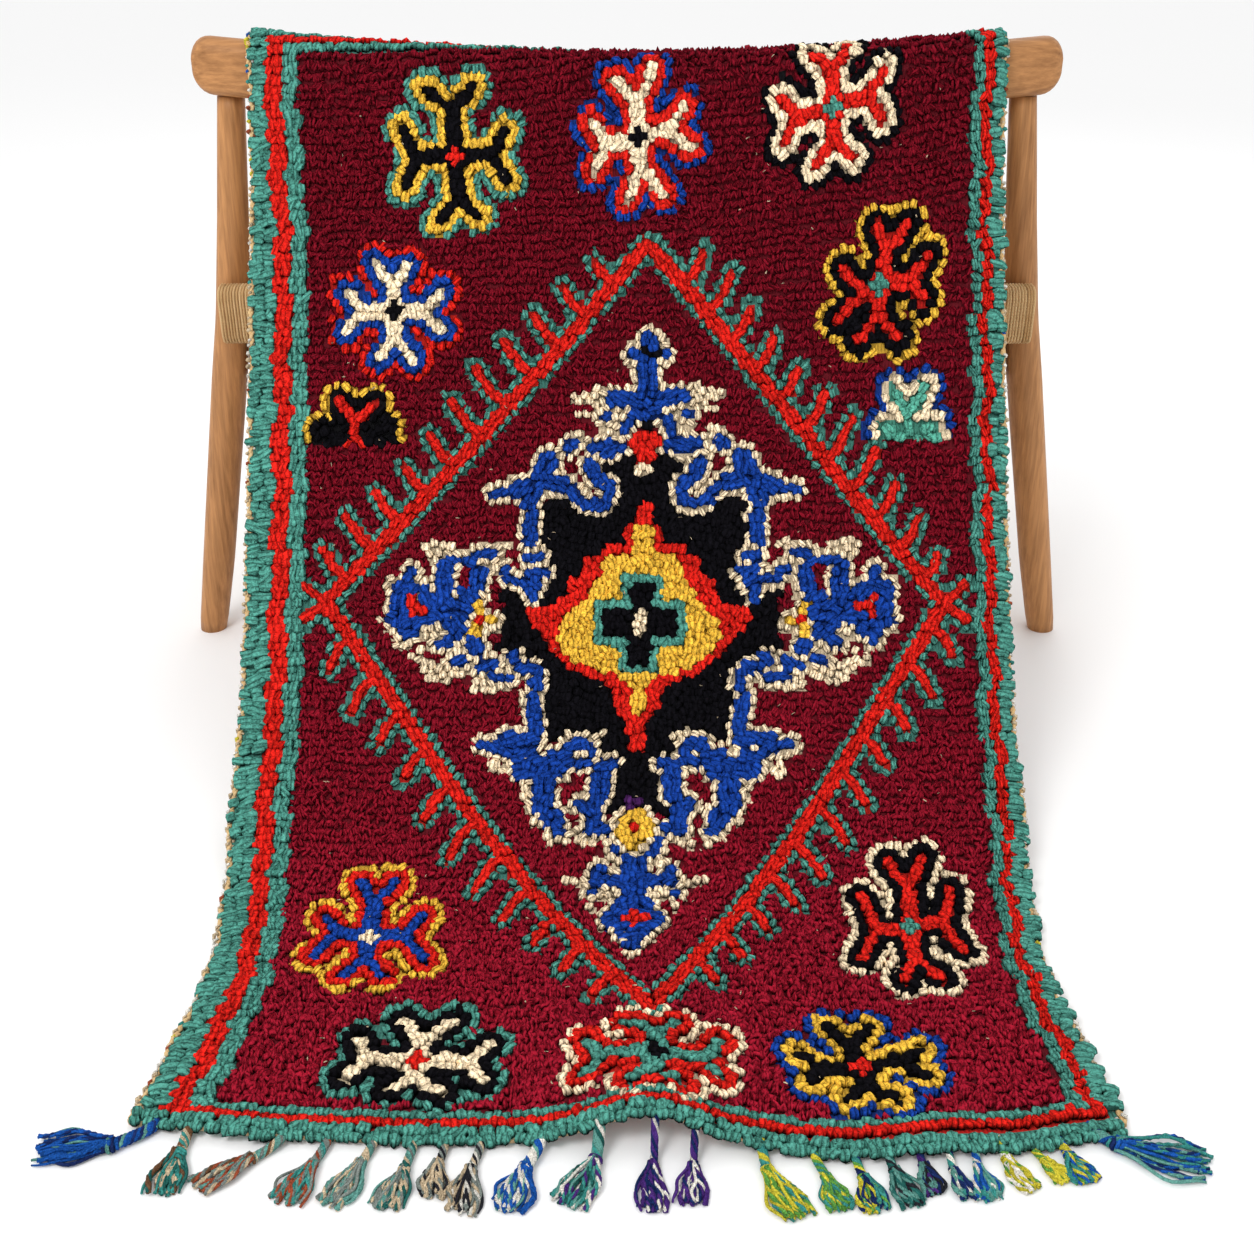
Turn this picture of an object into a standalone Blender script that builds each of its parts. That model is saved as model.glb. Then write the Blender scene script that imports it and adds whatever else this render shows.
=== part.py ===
"""Hand-knotted pile rug hung over the bowed back of a wide rope-seat chair.

The rug's back end just passes over the crest rail, the rug falls in front of
it, sweeps forward on the floor and ends in a row of tied tassels. The chair
is seen from behind, so its seat lies on the +Y side. Metres, +Z up, +X to
the viewer's right, -Y towards the viewer, the lowest points at z = 0.
"""

import math

import bmesh
import bpy
import numpy as np
from mathutils import Vector

GAP = 0.0003

# ---- chair ---------------------------------------------------------------
LEG_PLANE = 0.094            # y of the rear legs, from the rug's crest at the middle
SEAT_DEPTH = 0.420           # rear legs to front legs
# height, half spread, diameter of a rear leg, up to its top under the crest rail
REAR_LEG = ((0.000, 0.571, 0.037), (0.103, 0.551, 0.042), (0.361, 0.505, 0.045),
            (0.441, 0.491, 0.043), (0.560, 0.477, 0.038))
REAR_LEG_TOP = (0.462, 0.032)
FRONT_LEG = ((0.000, 0.552, 0.036), (0.140, 0.530, 0.041), (0.300, 0.500, 0.044),
             (0.4185, 0.481, 0.043))
LEG_SIDES = 14

RAIL_HALF_SPAN = 0.500
RAIL_THICK = 0.040
RAIL_TALL = 0.0635
RAIL_TOP = 0.770             # at the rail's ends
RAIL_BOW = 0.064             # towards the viewer at the middle
RAIL_DIP = 0.020
RAIL_END_ROUND = 0.022
RAIL_STEPS = 28

SEAT_RAIL_LOW = 0.419
SEAT_RAIL_TALL = 0.072
SEAT_RAIL_THICK = 0.040
SEAT_RAIL_HALF_SPAN = 0.492
SIDE_RAIL_INSET = 0.048      # from the rails' ends to the side rails' middle
SEAT_THICK = 0.016
SEAT_SAG = 0.012
APRON_LOW = 0.362
APRON_TALL = 0.046
APRON_THICK = 0.024

# ---- rug -----------------------------------------------------------------
RUG_THICK = 0.010
RUG_WIDTH = 0.850
RUG_LENGTH = 1.269           # crest to front edge, along the middle
CREST_GAP = 0.0008           # cloth to the top of the rail
CREST_CLEAR = 0.0025         # cloth to the rail's sides
BACK_END = -0.097            # where the cloth ends past the crest, at the middle
BACK_SLANT = -0.130          # the back end is cut askew, per metre across
SLANT_FADE = 0.620           # the rows are square to the sides from here on
# forward, height: the fall from the crest to the floor, as one cubic curve
FALL = ((0.000, 0.750), (0.050, 0.500), (0.240, 0.020), (0.560, 0.005))
FLOOR_END = 0.847            # forward reach of the front edge
BOW_FADE = 0.450             # the bow of the rail has died out in the cloth here
# along from the crest, width there: hand-woven, so it draws in near the floor
WIDTHS = ((-0.200, 0.850), (0.000, 0.850), (0.560, 0.856), (0.830, 0.848), (0.950, 0.822),
          (1.040, 0.802), (1.110, 0.805), (1.180, 0.823), (1.275, 0.846))
# across, how far the front edge stands ahead of FLOOR_END
FRONT_EDGE = ((-0.430, -0.020), (-0.300, -0.004), (-0.150, 0.000), (-0.050, 0.001),
              (0.020, -0.004), (0.090, 0.004), (0.190, 0.011), (0.300, 0.002), (0.430, -0.016))
# across, along, half width, half length, height of each fold raised off the floor
FOLDS = ((0.018, 1.290, 0.070, 0.150, 0.030), (-0.330, 1.300, 0.055, 0.070, 0.006),
         (0.250, 1.300, 0.060, 0.080, 0.005), (-0.430, 1.080, 0.060, 0.090, 0.006),
         (0.430, 1.120, 0.060, 0.100, 0.007))
COLUMNS = 20
CREST_ROWS = 18              # closely spaced rows that pass over the rail
CREST_ROWS_END = 0.072
FALL_ROWS = 17
FALL_ROWS_END = 0.930
FLOOR_ROWS = 12

# ---- tassels -------------------------------------------------------------
NECK_WIDE = 0.0085
NECK_TALL = 0.0080
KNOT_WIDE = 0.0130
KNOT_TALL = 0.0105
STRAND = 0.0026
ROOT_GAP = 0.0006
# across, way of the neck, its length, way of the spray, its length, thickness
# ways in degrees from straight ahead, positive to the right
FRONT_TASSELS = (
    (-0.403, -57, 0.037, -88, 0.072, 1.35), (-0.373, -4, 0.027, -12, 0.030, 0.90),
    (-0.291, -50, 0.029, -54, 0.048, 1.05), (-0.253, -20, 0.024, -26, 0.042, 1.00),
    (-0.214, -20, 0.022, -22, 0.045, 1.00), (-0.180, -10, 0.026, -18, 0.040, 1.00),
    (-0.153, -12, 0.019, -8, 0.032, 0.90), (-0.123, -14, 0.025, -10, 0.044, 0.95),
    (-0.072, -26, 0.027, -17, 0.042, 1.25), (-0.023, -12, 0.018, -24, 0.048, 1.25),
    (0.024, -4, 0.022, -2, 0.046, 0.85), (0.058, -6, 0.020, -4, 0.038, 0.85),
    (0.113, 10, 0.022, 24, 0.051, 1.10), (0.156, 20, 0.026, 20, 0.032, 0.95),
    (0.190, 12, 0.024, 14, 0.032, 0.95), (0.217, 14, 0.018, 16, 0.034, 0.95),
    (0.244, 8, 0.015, 9, 0.026, 0.85), (0.269, 4, 0.022, 6, 0.028, 0.80),
    (0.292, 0, 0.021, 10, 0.032, 0.90), (0.314, 14, 0.014, 22, 0.032, 1.00),
    (0.338, 30, 0.020, 32, 0.022, 0.80), (0.364, 18, 0.019, 20, 0.026, 1.00),
    (0.396, 50, 0.022, 72, 0.088, 1.35))
BACK_TASSELS = 10
BACK_NECK = 0.024
BACK_SPRAY = 0.042
# strands at a tassel's knot: way from the spray's own, share of its length
LOWER_STRANDS = ((-17, 0.86), (-1, 1.00), (15, 0.90))
UPPER_STRANDS = ((-9, 0.96), (7, 0.88), (22, 0.74))

# ---- colours -------------------------------------------------------------
WOOD = (0.40, 0.19, 0.08)
CORD = (0.58, 0.40, 0.19)
MAROON = (0.115, 0.008, 0.015)
TEAL = (0.05, 0.30, 0.20)


def material(name, colour, roughness):
    """A plain finish."""
    mat = bpy.data.materials.new(name)
    mat.use_nodes = True
    shader = mat.node_tree.nodes["Principled BSDF"]
    shader.inputs["Base Color"].default_value = (*colour, 1.0)
    shader.inputs["Roughness"].default_value = roughness
    shader.inputs["Metallic"].default_value = 0.0
    return mat


def add_object(name, bm, mat, smooth_angle=None):
    """Turn a bmesh into a named object with its faces out."""
    bmesh.ops.recalc_face_normals(bm, faces=bm.faces)
    if bm.calc_volume(signed=True) < 0.0:
        bmesh.ops.reverse_faces(bm, faces=bm.faces)
    mesh = bpy.data.meshes.new(name)
    bm.to_mesh(mesh)
    bm.free()
    mesh.materials.append(mat)
    if smooth_angle is not None:
        mesh.shade_smooth()
        mesh.set_sharp_from_angle(angle=math.radians(smooth_angle))
    obj = bpy.data.objects.new(name, mesh)
    bpy.context.scene.collection.objects.link(obj)
    return obj


def bridge(bm, low, high):
    """Quads between two closed rings of the same count."""
    count = len(low)
    for i in range(count):
        j = (i + 1) % count
        bm.faces.new((low[i], low[j], high[j], high[i]))


def loft(rings):
    """A closed body through rings of points, with flat caps."""
    bm = bmesh.new()
    loops = [[bm.verts.new(point) for point in ring] for ring in rings]
    bm.faces.new(loops[0])
    bm.faces.new(loops[-1])
    for low, high in zip(loops, loops[1:]):
        bridge(bm, low, high)
    return bm


def smooth_step(value):
    """0 to 1 with level ends."""
    value = min(max(value, 0.0), 1.0)
    return value * value * (3.0 - 2.0 * value)


def read_table(table, key, column=1):
    """A named table's value at a place between its rows, eased along each row."""
    if key <= table[0][0]:
        return table[0][column]
    for low, high in zip(table, table[1:]):
        if key <= high[0]:
            share = smooth_step((key - low[0]) / (high[0] - low[0]))
            return low[column] + share * (high[column] - low[column])
    return table[-1][column]


# ---- chair ---------------------------------------------------------------
def rail_bow(x):
    """How far the crest rail stands towards the viewer from the leg plane."""
    return RAIL_BOW * max(math.cos(math.pi * x / (2.0 * RAIL_HALF_SPAN)), 0.0)


def rail_dip(x):
    """How far the crest rail's top lies under its ends."""
    return RAIL_DIP * max(math.cos(math.pi * x / (2.0 * RAIL_HALF_SPAN)), 0.0)


def rail_section(x, scale):
    """The crest rail's section at x: a full round top and eased lower edges."""
    half = RAIL_THICK / 2.0
    low_round = 0.012
    centre_y = LEG_PLANE - rail_bow(x)
    top = RAIL_TOP - rail_dip(x)
    middle = top - RAIL_TALL / 2.0
    outline = []
    for step in range(9):
        turn = math.pi * step / 8.0
        outline.append((half * math.cos(turn), RAIL_TALL / 2.0 - half + half * math.sin(turn)))
    for side, start in ((-1.0, math.pi), (1.0, 1.5 * math.pi)):
        for step in range(3):
            turn = start + math.pi / 4.0 * step
            outline.append((side * (half - low_round) + low_round * math.cos(turn),
                            -RAIL_TALL / 2.0 + low_round + low_round * math.sin(turn)))
    return [Vector((x, centre_y + dy, middle + dz * scale)) for dy, dz in outline]


def make_crest_rail(mat):
    straight = RAIL_HALF_SPAN - RAIL_END_ROUND
    places = [(straight * (2.0 * i / RAIL_STEPS - 1.0), 1.0) for i in range(RAIL_STEPS + 1)]
    corner = RAIL_END_ROUND / (RAIL_TALL / 2.0)
    for turn in (30.0, 60.0, 85.0):
        out = RAIL_END_ROUND * math.sin(math.radians(turn))
        scale = 1.0 - corner * (1.0 - math.cos(math.radians(turn)))
        places.append((straight + out, scale))
        places.insert(0, (-straight - out, scale))
    return add_object("crest_rail", loft([rail_section(x, s) for x, s in places]), mat, 40)


def leg_rings(table, side, y):
    """Level rings up a leg, so that its foot and its top are flat."""
    rings = []
    for height, spread, width in table:
        ring = []
        for i in range(LEG_SIDES):
            turn = 2.0 * math.pi * i / LEG_SIDES
            ring.append(Vector((side * spread + width / 2.0 * math.cos(turn),
                                y + width / 2.0 * math.sin(turn), height)))
        rings.append(ring)
    return rings


def make_legs(mat):
    spread, width = REAR_LEG_TOP
    top_inside = spread - width / 2.0
    rail_under = RAIL_TOP - rail_dip(top_inside) - RAIL_TALL
    rear_leg = REAR_LEG + ((rail_under - GAP, spread, width),)
    legs = []
    for word, side in (("left", -1.0), ("right", 1.0)):
        legs.append(add_object(f"rear_leg_{word}",
                               loft(leg_rings(rear_leg, side, LEG_PLANE)), mat, 40))
        legs.append(add_object(f"front_leg_{word}",
                               loft(leg_rings(FRONT_LEG, side, LEG_PLANE + SEAT_DEPTH)), mat, 40))
    return legs


def bar(name, start, end, thick, low, tall, round_by, mat):
    """A level bar with rounded long edges, from start to end in plan."""
    along = Vector((end[0] - start[0], end[1] - start[1], 0.0)).normalized()
    across = Vector((-along.y, along.x, 0.0))
    outline = []
    for side_y, side_z, start_turn in ((1, 1, 0), (-1, 1, 90), (-1, -1, 180), (1, -1, 270)):
        for step in range(3):
            turn = math.radians(start_turn + 45 * step)
            outline.append((side_y * (thick / 2.0 - round_by) + round_by * math.cos(turn),
                            side_z * (tall / 2.0 - round_by) + round_by * math.sin(turn)))
    rings = []
    for place in (start, end):
        centre = Vector((place[0], place[1], low + tall / 2.0))
        rings.append([centre + across * a + Vector((0.0, 0.0, b)) for a, b in outline])
    return add_object(name, loft(rings), mat, 50)


def leg_inner_face(table):
    """Least distance from the middle to a leg's inner side over an apron's height."""
    heights = [row[0] for row in table]
    inner = [row[1] - row[2] / 2.0 for row in table]
    return min(np.interp(APRON_LOW, heights, inner), np.interp(APRON_LOW + APRON_TALL, heights, inner))


def widest_leg(table, low, high):
    """Half the leg's greatest width between two heights."""
    heights = [row[0] for row in table]
    widths = [row[2] for row in table]
    places = [low, high] + [h for h in heights if low < h < high]
    return max(np.interp(place, heights, widths) for place in places) / 2.0


def make_seat(cord_mat, wood_mat):
    """Cord-wound rails on the legs' faces, the woven seat between them, aprons under it."""
    rail_high = SEAT_RAIL_LOW + SEAT_RAIL_TALL
    half = SEAT_RAIL_THICK / 2.0
    rear_y = LEG_PLANE - widest_leg(REAR_LEG, SEAT_RAIL_LOW, rail_high) - GAP - half
    front_y = LEG_PLANE + SEAT_DEPTH
    parts = [
        bar("seat_rail_rear", (-SEAT_RAIL_HALF_SPAN, rear_y), (SEAT_RAIL_HALF_SPAN, rear_y),
            SEAT_RAIL_THICK, SEAT_RAIL_LOW, SEAT_RAIL_TALL, 0.014, cord_mat),
        bar("seat_rail_front", (-SEAT_RAIL_HALF_SPAN, front_y), (SEAT_RAIL_HALF_SPAN, front_y),
            SEAT_RAIL_THICK, SEAT_RAIL_LOW, SEAT_RAIL_TALL, 0.014, cord_mat)]
    side_x = SEAT_RAIL_HALF_SPAN - SIDE_RAIL_INSET
    for word, side in (("left", -1.0), ("right", 1.0)):
        parts.append(bar(f"seat_rail_{word}", (side * side_x, rear_y + half + GAP),
                         (side * side_x, front_y - half - GAP),
                         SEAT_RAIL_THICK, SEAT_RAIL_LOW, SEAT_RAIL_TALL, 0.014, cord_mat))
    seat_half = side_x - half - GAP
    parts.append(make_seat_panel(seat_half, rear_y + half + GAP, front_y - half - GAP, cord_mat))
    leg_in = leg_inner_face(REAR_LEG) - GAP
    front_in = leg_inner_face(FRONT_LEG) - GAP
    parts.append(bar("apron_rear", (-leg_in, LEG_PLANE), (leg_in, LEG_PLANE),
                     APRON_THICK, APRON_LOW, APRON_TALL, 0.004, wood_mat))
    parts.append(bar("apron_front", (-front_in, front_y), (front_in, front_y),
                     APRON_THICK, APRON_LOW, APRON_TALL, 0.004, wood_mat))
    back = LEG_PLANE + APRON_THICK / 2.0 + GAP
    front = front_y - APRON_THICK / 2.0 - GAP
    for word, side in (("left", -1.0), ("right", 1.0)):
        parts.append(bar(f"apron_{word}", (side * 0.445, back), (side * 0.445, front),
                         APRON_THICK, APRON_LOW, APRON_TALL, 0.004, wood_mat))
    return parts


def make_seat_panel(half_span, y_rear, y_front, mat):
    """The woven cord seat: a thin panel that sags a little to its middle."""
    cells = 6
    top_edge = SEAT_RAIL_LOW + SEAT_RAIL_TALL - 0.006
    bm = bmesh.new()
    layers = []
    for drop in (0.0, SEAT_THICK):
        grid = []
        for j in range(cells + 1):
            row = []
            for i in range(cells + 1):
                u = i / cells * 2.0 - 1.0
                w = j / cells * 2.0 - 1.0
                sag = SEAT_SAG * (1.0 - u * u) * (1.0 - w * w)
                y = y_rear + (w + 1.0) / 2.0 * (y_front - y_rear)
                row.append(bm.verts.new((u * half_span, y, top_edge - drop - sag)))
            grid.append(row)
        layers.append(grid)
    close_sheet(bm, layers[0], layers[1])
    return add_object("seat", bm, mat, 40)


def close_sheet(bm, top, under):
    """Faces over two matching grids and round their rim."""
    rows = len(top) - 1
    columns = len(top[0]) - 1
    for grid in (top, under):
        for j in range(rows):
            for i in range(columns):
                bm.faces.new((grid[j][i], grid[j][i + 1], grid[j + 1][i + 1], grid[j + 1][i]))
    for i in range(columns):
        for j in (0, rows):
            bm.faces.new((top[j][i], top[j][i + 1], under[j][i + 1], under[j][i]))
    for j in range(rows):
        for i in (0, columns):
            bm.faces.new((top[j][i], top[j + 1][i], under[j + 1][i], under[j][i]))


# ---- rug -----------------------------------------------------------------
def fall_curve():
    """Lengths, forward places and heights along the middle, from crest to front edge."""
    t = np.linspace(0.0, 1.0, 160)
    p = np.array(FALL)
    forward, height = (((1 - t) ** 3)[:, None] * p[0] + (3 * (1 - t) ** 2 * t)[:, None] * p[1]
                       + (3 * (1 - t) * t ** 2)[:, None] * p[2] + (t ** 3)[:, None] * p[3]).T
    forward = np.append(forward, FLOOR_END + 0.1)
    height = np.append(height, p[3][1])
    length = np.append(0.0, np.cumsum(np.hypot(np.diff(forward), np.diff(height))))
    return length, forward, height


LENGTH_KEYS, FORWARD_KEYS, HEIGHT_KEYS = fall_curve()
INNER_RADIUS = RAIL_THICK / 2.0 + CREST_CLEAR
CREST_RADIUS = INNER_RADIUS + RUG_THICK / 2.0
FIRST_TURN = math.atan2(FALL[1][0] - FALL[0][0], FALL[0][1] - FALL[1][1])
ARC_SPAN = math.pi - FIRST_TURN
CREST_HEIGHT = RAIL_TOP - RAIL_DIP + CREST_GAP + RUG_THICK / 2.0


def side_view(along):
    """Forward place and height of the cloth's middle layer over a straight, undipped rail."""
    centre_f = -CREST_RADIUS - (LEG_PLANE - RAIL_BOW - CREST_RADIUS)
    centre_z = CREST_HEIGHT - CREST_RADIUS
    start_f = centre_f + CREST_RADIUS * math.cos(FIRST_TURN)
    start_z = centre_z + CREST_RADIUS * math.sin(FIRST_TURN)
    if along >= 0.0:
        forward = float(np.interp(along, LENGTH_KEYS, FORWARD_KEYS))
        height = float(np.interp(along, LENGTH_KEYS, HEIGHT_KEYS))
        ease = 1.0 - smooth_step(along / 0.25)
        forward += (start_f - FALL[0][0]) * ease
        height += (start_z - FALL[0][1]) * ease
        return forward, height
    turn = FIRST_TURN - along / CREST_RADIUS
    if turn <= math.pi:
        return (centre_f + CREST_RADIUS * math.cos(turn), centre_z + CREST_RADIUS * math.sin(turn))
    return centre_f - CREST_RADIUS, centre_z - (turn - math.pi) * CREST_RADIUS


def layer_point(across, along):
    """A point of the cloth's middle layer; across is measured on the full width."""
    width = read_table(WIDTHS, along)
    x = across * width / RUG_WIDTH
    forward, height = side_view(along)
    fade = 1.0 - smooth_step(along / BOW_FADE)
    set_back = RAIL_BOW - rail_bow(x)
    forward -= set_back * fade
    height += (RAIL_DIP - rail_dip(x)) * fade
    reach = smooth_step((along - 0.95) / (RUG_LENGTH - 0.95))
    forward += read_table(FRONT_EDGE, across) * reach
    for fold_x, fold_v, half_x, half_v, rise in FOLDS:
        distance = ((x - fold_x) / half_x) ** 2 + ((along - fold_v) / half_v) ** 2
        height += rise * math.exp(-distance)
    return Vector((x, -forward, height))


def layer_normal(across, along):
    """Outward normal of the middle layer, away from the rail and up off the floor."""
    step = 0.004
    over = layer_point(across + step, along) - layer_point(across - step, along)
    down = layer_point(across, along + step) - layer_point(across, along - step)
    return down.cross(over).normalized()


def row_places():
    """Rows of the cloth along the middle: close over the rail, wider below."""
    rows = list(np.linspace(BACK_END, CREST_ROWS_END, CREST_ROWS, endpoint=False))
    rows += list(np.linspace(CREST_ROWS_END, FALL_ROWS_END, FALL_ROWS, endpoint=False))
    rows += list(np.linspace(FALL_ROWS_END, RUG_LENGTH, FLOOR_ROWS + 1))
    return rows


def slanted(across, along):
    """A row's true place at a point across: the rows near the back end run askew."""
    fade = 1.0 - smooth_step((along - BACK_END) / (SLANT_FADE - BACK_END))
    return along + BACK_SLANT * across * fade


def make_rug(mat):
    bm = bmesh.new()
    top = []
    under = []
    for row in row_places():
        top_row = []
        under_row = []
        for i in range(COLUMNS + 1):
            across = RUG_WIDTH * (i / COLUMNS - 0.5)
            along = slanted(across, row)
            place = layer_point(across, along)
            normal = layer_normal(across, along)
            top_row.append(bm.verts.new(place + normal * RUG_THICK / 2.0))
            low = place - normal * RUG_THICK / 2.0
            low.z = max(low.z, 0.0)
            under_row.append(bm.verts.new(low))
        top.append(top_row)
        under.append(under_row)
    close_sheet(bm, top, under)
    return add_object("rug", bm, mat, 50)


def edge_place(across, row):
    """Middle of the rug's end face, on its straight facet between two columns."""
    position = (across / RUG_WIDTH + 0.5) * COLUMNS
    index = min(int(position), COLUMNS - 1)
    share = position - index
    ends = []
    for i in (index, index + 1):
        place_across = RUG_WIDTH * (i / COLUMNS - 0.5)
        ends.append(layer_point(place_across, slanted(place_across, row)))
    return ends[0].lerp(ends[1], share), (ends[1] - ends[0]).normalized()


# ---- tassels -------------------------------------------------------------
def outline_points():
    """A tassel's section as the rim of 3 by 2 cells, flattened under and over."""
    return ((-0.78, -0.78), (-0.36, -1.0), (0.36, -1.0), (0.78, -0.78), (1.0, 0.0),
            (0.78, 0.78), (0.36, 1.0), (-0.36, 1.0), (-0.78, 0.78), (-1.0, 0.0))


def tassel_ring(centre, sideways, upwards, wide, tall):
    return [centre + sideways * (u * wide / 2.0) + upwards * (w * tall / 2.0)
            for u, w in outline_points()]


def tassel_body(stations, strands):
    """A neck and knot through its stations, then six tapering strands from the knot's cap.

    A station is centre, sideways, upwards, wide, tall. A strand is the middle
    and the tip that it runs through, with the sideways and upwards at its middle.
    """
    bm = bmesh.new()
    rings = [[bm.verts.new(p) for p in tassel_ring(*station)] for station in stations]
    bm.faces.new(rings[0])
    for low, high in zip(rings, rings[1:]):
        bridge(bm, low, high)
    rim = rings[-1]
    centre, sideways, upwards, wide, tall = stations[-1]
    inner = [bm.verts.new(centre + sideways * (u * wide / 2.0)) for u in (-0.36, 0.36)]
    low_row = rim[0:4]
    mid_row = [rim[9], inner[0], inner[1], rim[4]]
    high_row = [rim[8], rim[7], rim[6], rim[5]]
    cells = []
    for under, over in ((low_row, mid_row), (mid_row, high_row)):
        for i in range(3):
            cells.append((under[i], under[i + 1], over[i + 1], over[i]))
    for cell, (middle, tip, side_dir, up_dir) in zip(cells, strands):
        heart = sum((vert.co for vert in cell), Vector()) / 4.0
        base = [bm.verts.new(heart + (vert.co - heart) * 0.80) for vert in cell]
        bridge(bm, cell, base)
        half = STRAND / 2.0
        waist = [bm.verts.new(middle + side_dir * (a * half) + up_dir * (b * half))
                 for a, b in ((-1, -1), (1, -1), (1, 1), (-1, 1))]
        bridge(bm, base, waist)
        point = bm.verts.new(tip)
        for i in range(4):
            bm.faces.new((waist[i], waist[(i + 1) % 4], point))
    return bm


def heading(degrees):
    """A level direction, turned from straight ahead towards the right."""
    turn = math.radians(degrees)
    return Vector((math.sin(turn), -math.cos(turn), 0.0))


def front_tassel(number, row, mat):
    """A tassel tied to the front edge, its neck bending down to rest on the floor."""
    across, neck_way, neck_length, spray_way, spray_length, thick = row
    root, edge_way = edge_place(across, RUG_LENGTH)
    facing = Vector((edge_way.y, -edge_way.x, 0.0)).normalized()
    ahead = heading(neck_way)
    spray = heading(spray_way)
    up = Vector((0.0, 0.0, 1.0))
    neck_wide, neck_tall = NECK_WIDE * thick, NECK_TALL * min(thick, 1.1)
    knot_wide, knot_tall = KNOT_WIDE * thick, KNOT_TALL * thick
    start = root + facing * ROOT_GAP
    start.z = max(start.z - 0.001, neck_tall / 2.0)
    side = Vector((-facing.y, facing.x, 0.0))
    stations = [(start, side, up, neck_wide, neck_tall)]
    bend = start + facing * 0.005 + ahead * neck_length * 0.35
    bend.z = max(start.z * 0.55, neck_tall / 2.0)
    neck_side = Vector((-ahead.y, ahead.x, 0.0))
    stations.append((bend, neck_side, up, neck_wide, neck_tall))
    knot = start + facing * 0.005 + ahead * neck_length
    knot.z = knot_tall / 2.0
    knot_way = (ahead + spray).normalized()
    knot_side = Vector((-knot_way.y, knot_way.x, 0.0))
    stations.append((knot, knot_side, up, knot_wide, knot_tall))
    spray_side = Vector((-spray.y, spray.x, 0.0))
    cap = knot + spray * 0.007 * thick
    cap_tall = knot_tall * 0.86
    cap.z = cap_tall / 2.0
    stations.append((cap, spray_side, up, knot_wide * 0.92, cap_tall))
    strands = []
    for layer, table in enumerate((LOWER_STRANDS, UPPER_STRANDS)):
        for index, (turn, share) in enumerate(table):
            way = heading(spray_way + turn)
            way_side = Vector((-way.y, way.x, 0.0))
            offset = spray_side * ((index - 1) * knot_wide * 0.30)
            middle = cap + offset + way * spray_length * 0.35
            middle.z = STRAND * (0.5 + 1.15 * layer)
            tip = cap + offset + way * spray_length * share
            tip.z = 0.0
            strands.append((middle, tip, way_side, up))
    return add_object(f"tassel_front_{number:02d}", tassel_body(stations, strands), mat)


def aligned(direction, towards):
    """The direction, or its opposite where that points more the given way."""
    return direction if direction.dot(towards) >= 0.0 else -direction


def hanging_frame(across, along):
    """Place, sideways, outwards and downwards on the cloth's line, also past its back end."""
    place = layer_point(across, along)
    out = layer_normal(across, along)
    down = (layer_point(across, along - 0.002) - place).normalized()
    return place, down.cross(out).normalized(), out, down


def back_tassel(number, across, mat):
    """A tassel tied to the back end, lying over the rail and hanging behind it."""
    end = slanted(across, BACK_END)
    root, edge_way = edge_place(across, BACK_END)
    _, side, out, down = hanging_frame(across, end)
    facing = aligned(edge_way.cross(out).normalized(), down)
    level = aligned(edge_way, side)
    stations = [(root + facing * ROOT_GAP, level, aligned(facing.cross(level), out),
                 NECK_WIDE, NECK_TALL)]
    for beyond, wide, tall in ((BACK_NECK * 0.42, NECK_WIDE, NECK_TALL),
                               (BACK_NECK * 0.80, NECK_WIDE, NECK_TALL),
                               (BACK_NECK + 0.004, KNOT_WIDE, KNOT_TALL),
                               (BACK_NECK + 0.012, KNOT_WIDE * 0.92, KNOT_TALL * 0.86)):
        centre, side, out, _ = hanging_frame(across, end - beyond)
        stations.append((centre + out * (tall - NECK_TALL) / 2.0, side, out, wide, tall))
    strands = []
    for layer, table in enumerate((LOWER_STRANDS, UPPER_STRANDS)):
        for index, (turn, share) in enumerate(table):
            sway = math.tan(math.radians(turn * 0.8))
            places = []
            for reach in (0.40, share):
                length = BACK_SPRAY * reach
                centre, side, out, _ = hanging_frame(across, end - BACK_NECK - 0.012 - length)
                drift = (index - 1) * KNOT_WIDE * 0.30 + sway * length
                lift = (layer - 0.5) * STRAND * 1.6 * (1.0 - 0.5 * reach)
                places.append((centre + side * drift + out * lift, side, out))
            (middle, side, out), (tip, _, _) = places
            strands.append((middle, tip, side, out))
    return add_object(f"tassel_back_{number:02d}", tassel_body(stations, strands), mat)


def make_tassels(mat):
    made = [front_tassel(i + 1, row, mat) for i, row in enumerate(FRONT_TASSELS)]
    for i in range(BACK_TASSELS):
        across = RUG_WIDTH * 0.94 * (i / (BACK_TASSELS - 1) - 0.5)
        made.append(back_tassel(i + 1, across, mat))
    return made


# ---- whole ---------------------------------------------------------------
def stand_on_middle(objects):
    """Bring the middle of the whole's footprint to the origin, without changing heights."""
    corners = [vert.co for obj in objects for vert in obj.data.vertices]
    middle = Vector(((min(c.x for c in corners) + max(c.x for c in corners)) / 2.0,
                     (min(c.y for c in corners) + max(c.y for c in corners)) / 2.0, 0.0))
    for obj in objects:
        for vert in obj.data.vertices:
            vert.co -= middle


def main():
    for old in list(bpy.data.objects):
        bpy.data.objects.remove(old, do_unlink=True)
    wood = material("waxed_wood", WOOD, 0.45)
    cord = material("paper_cord", CORD, 0.75)
    pile = material("wool_pile", MAROON, 0.95)
    yarn = material("tassel_yarn", TEAL, 0.90)
    objects = [make_crest_rail(wood)]
    objects += make_legs(wood)
    objects += make_seat(cord, wood)
    objects.append(make_rug(pile))
    objects += make_tassels(yarn)
    stand_on_middle(objects)


main()
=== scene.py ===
"""Finish and fine shape of a hand-knotted pile rug that hangs over the bowed back of a wide chair.

Metres, +Z up, +X to the viewer's right, -Y towards the viewer. A place on the rug is
given as across, from its middle, and row, its length from the crest of the rail.
"""

import math

import bpy
import numpy as np
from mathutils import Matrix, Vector, kdtree


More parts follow.
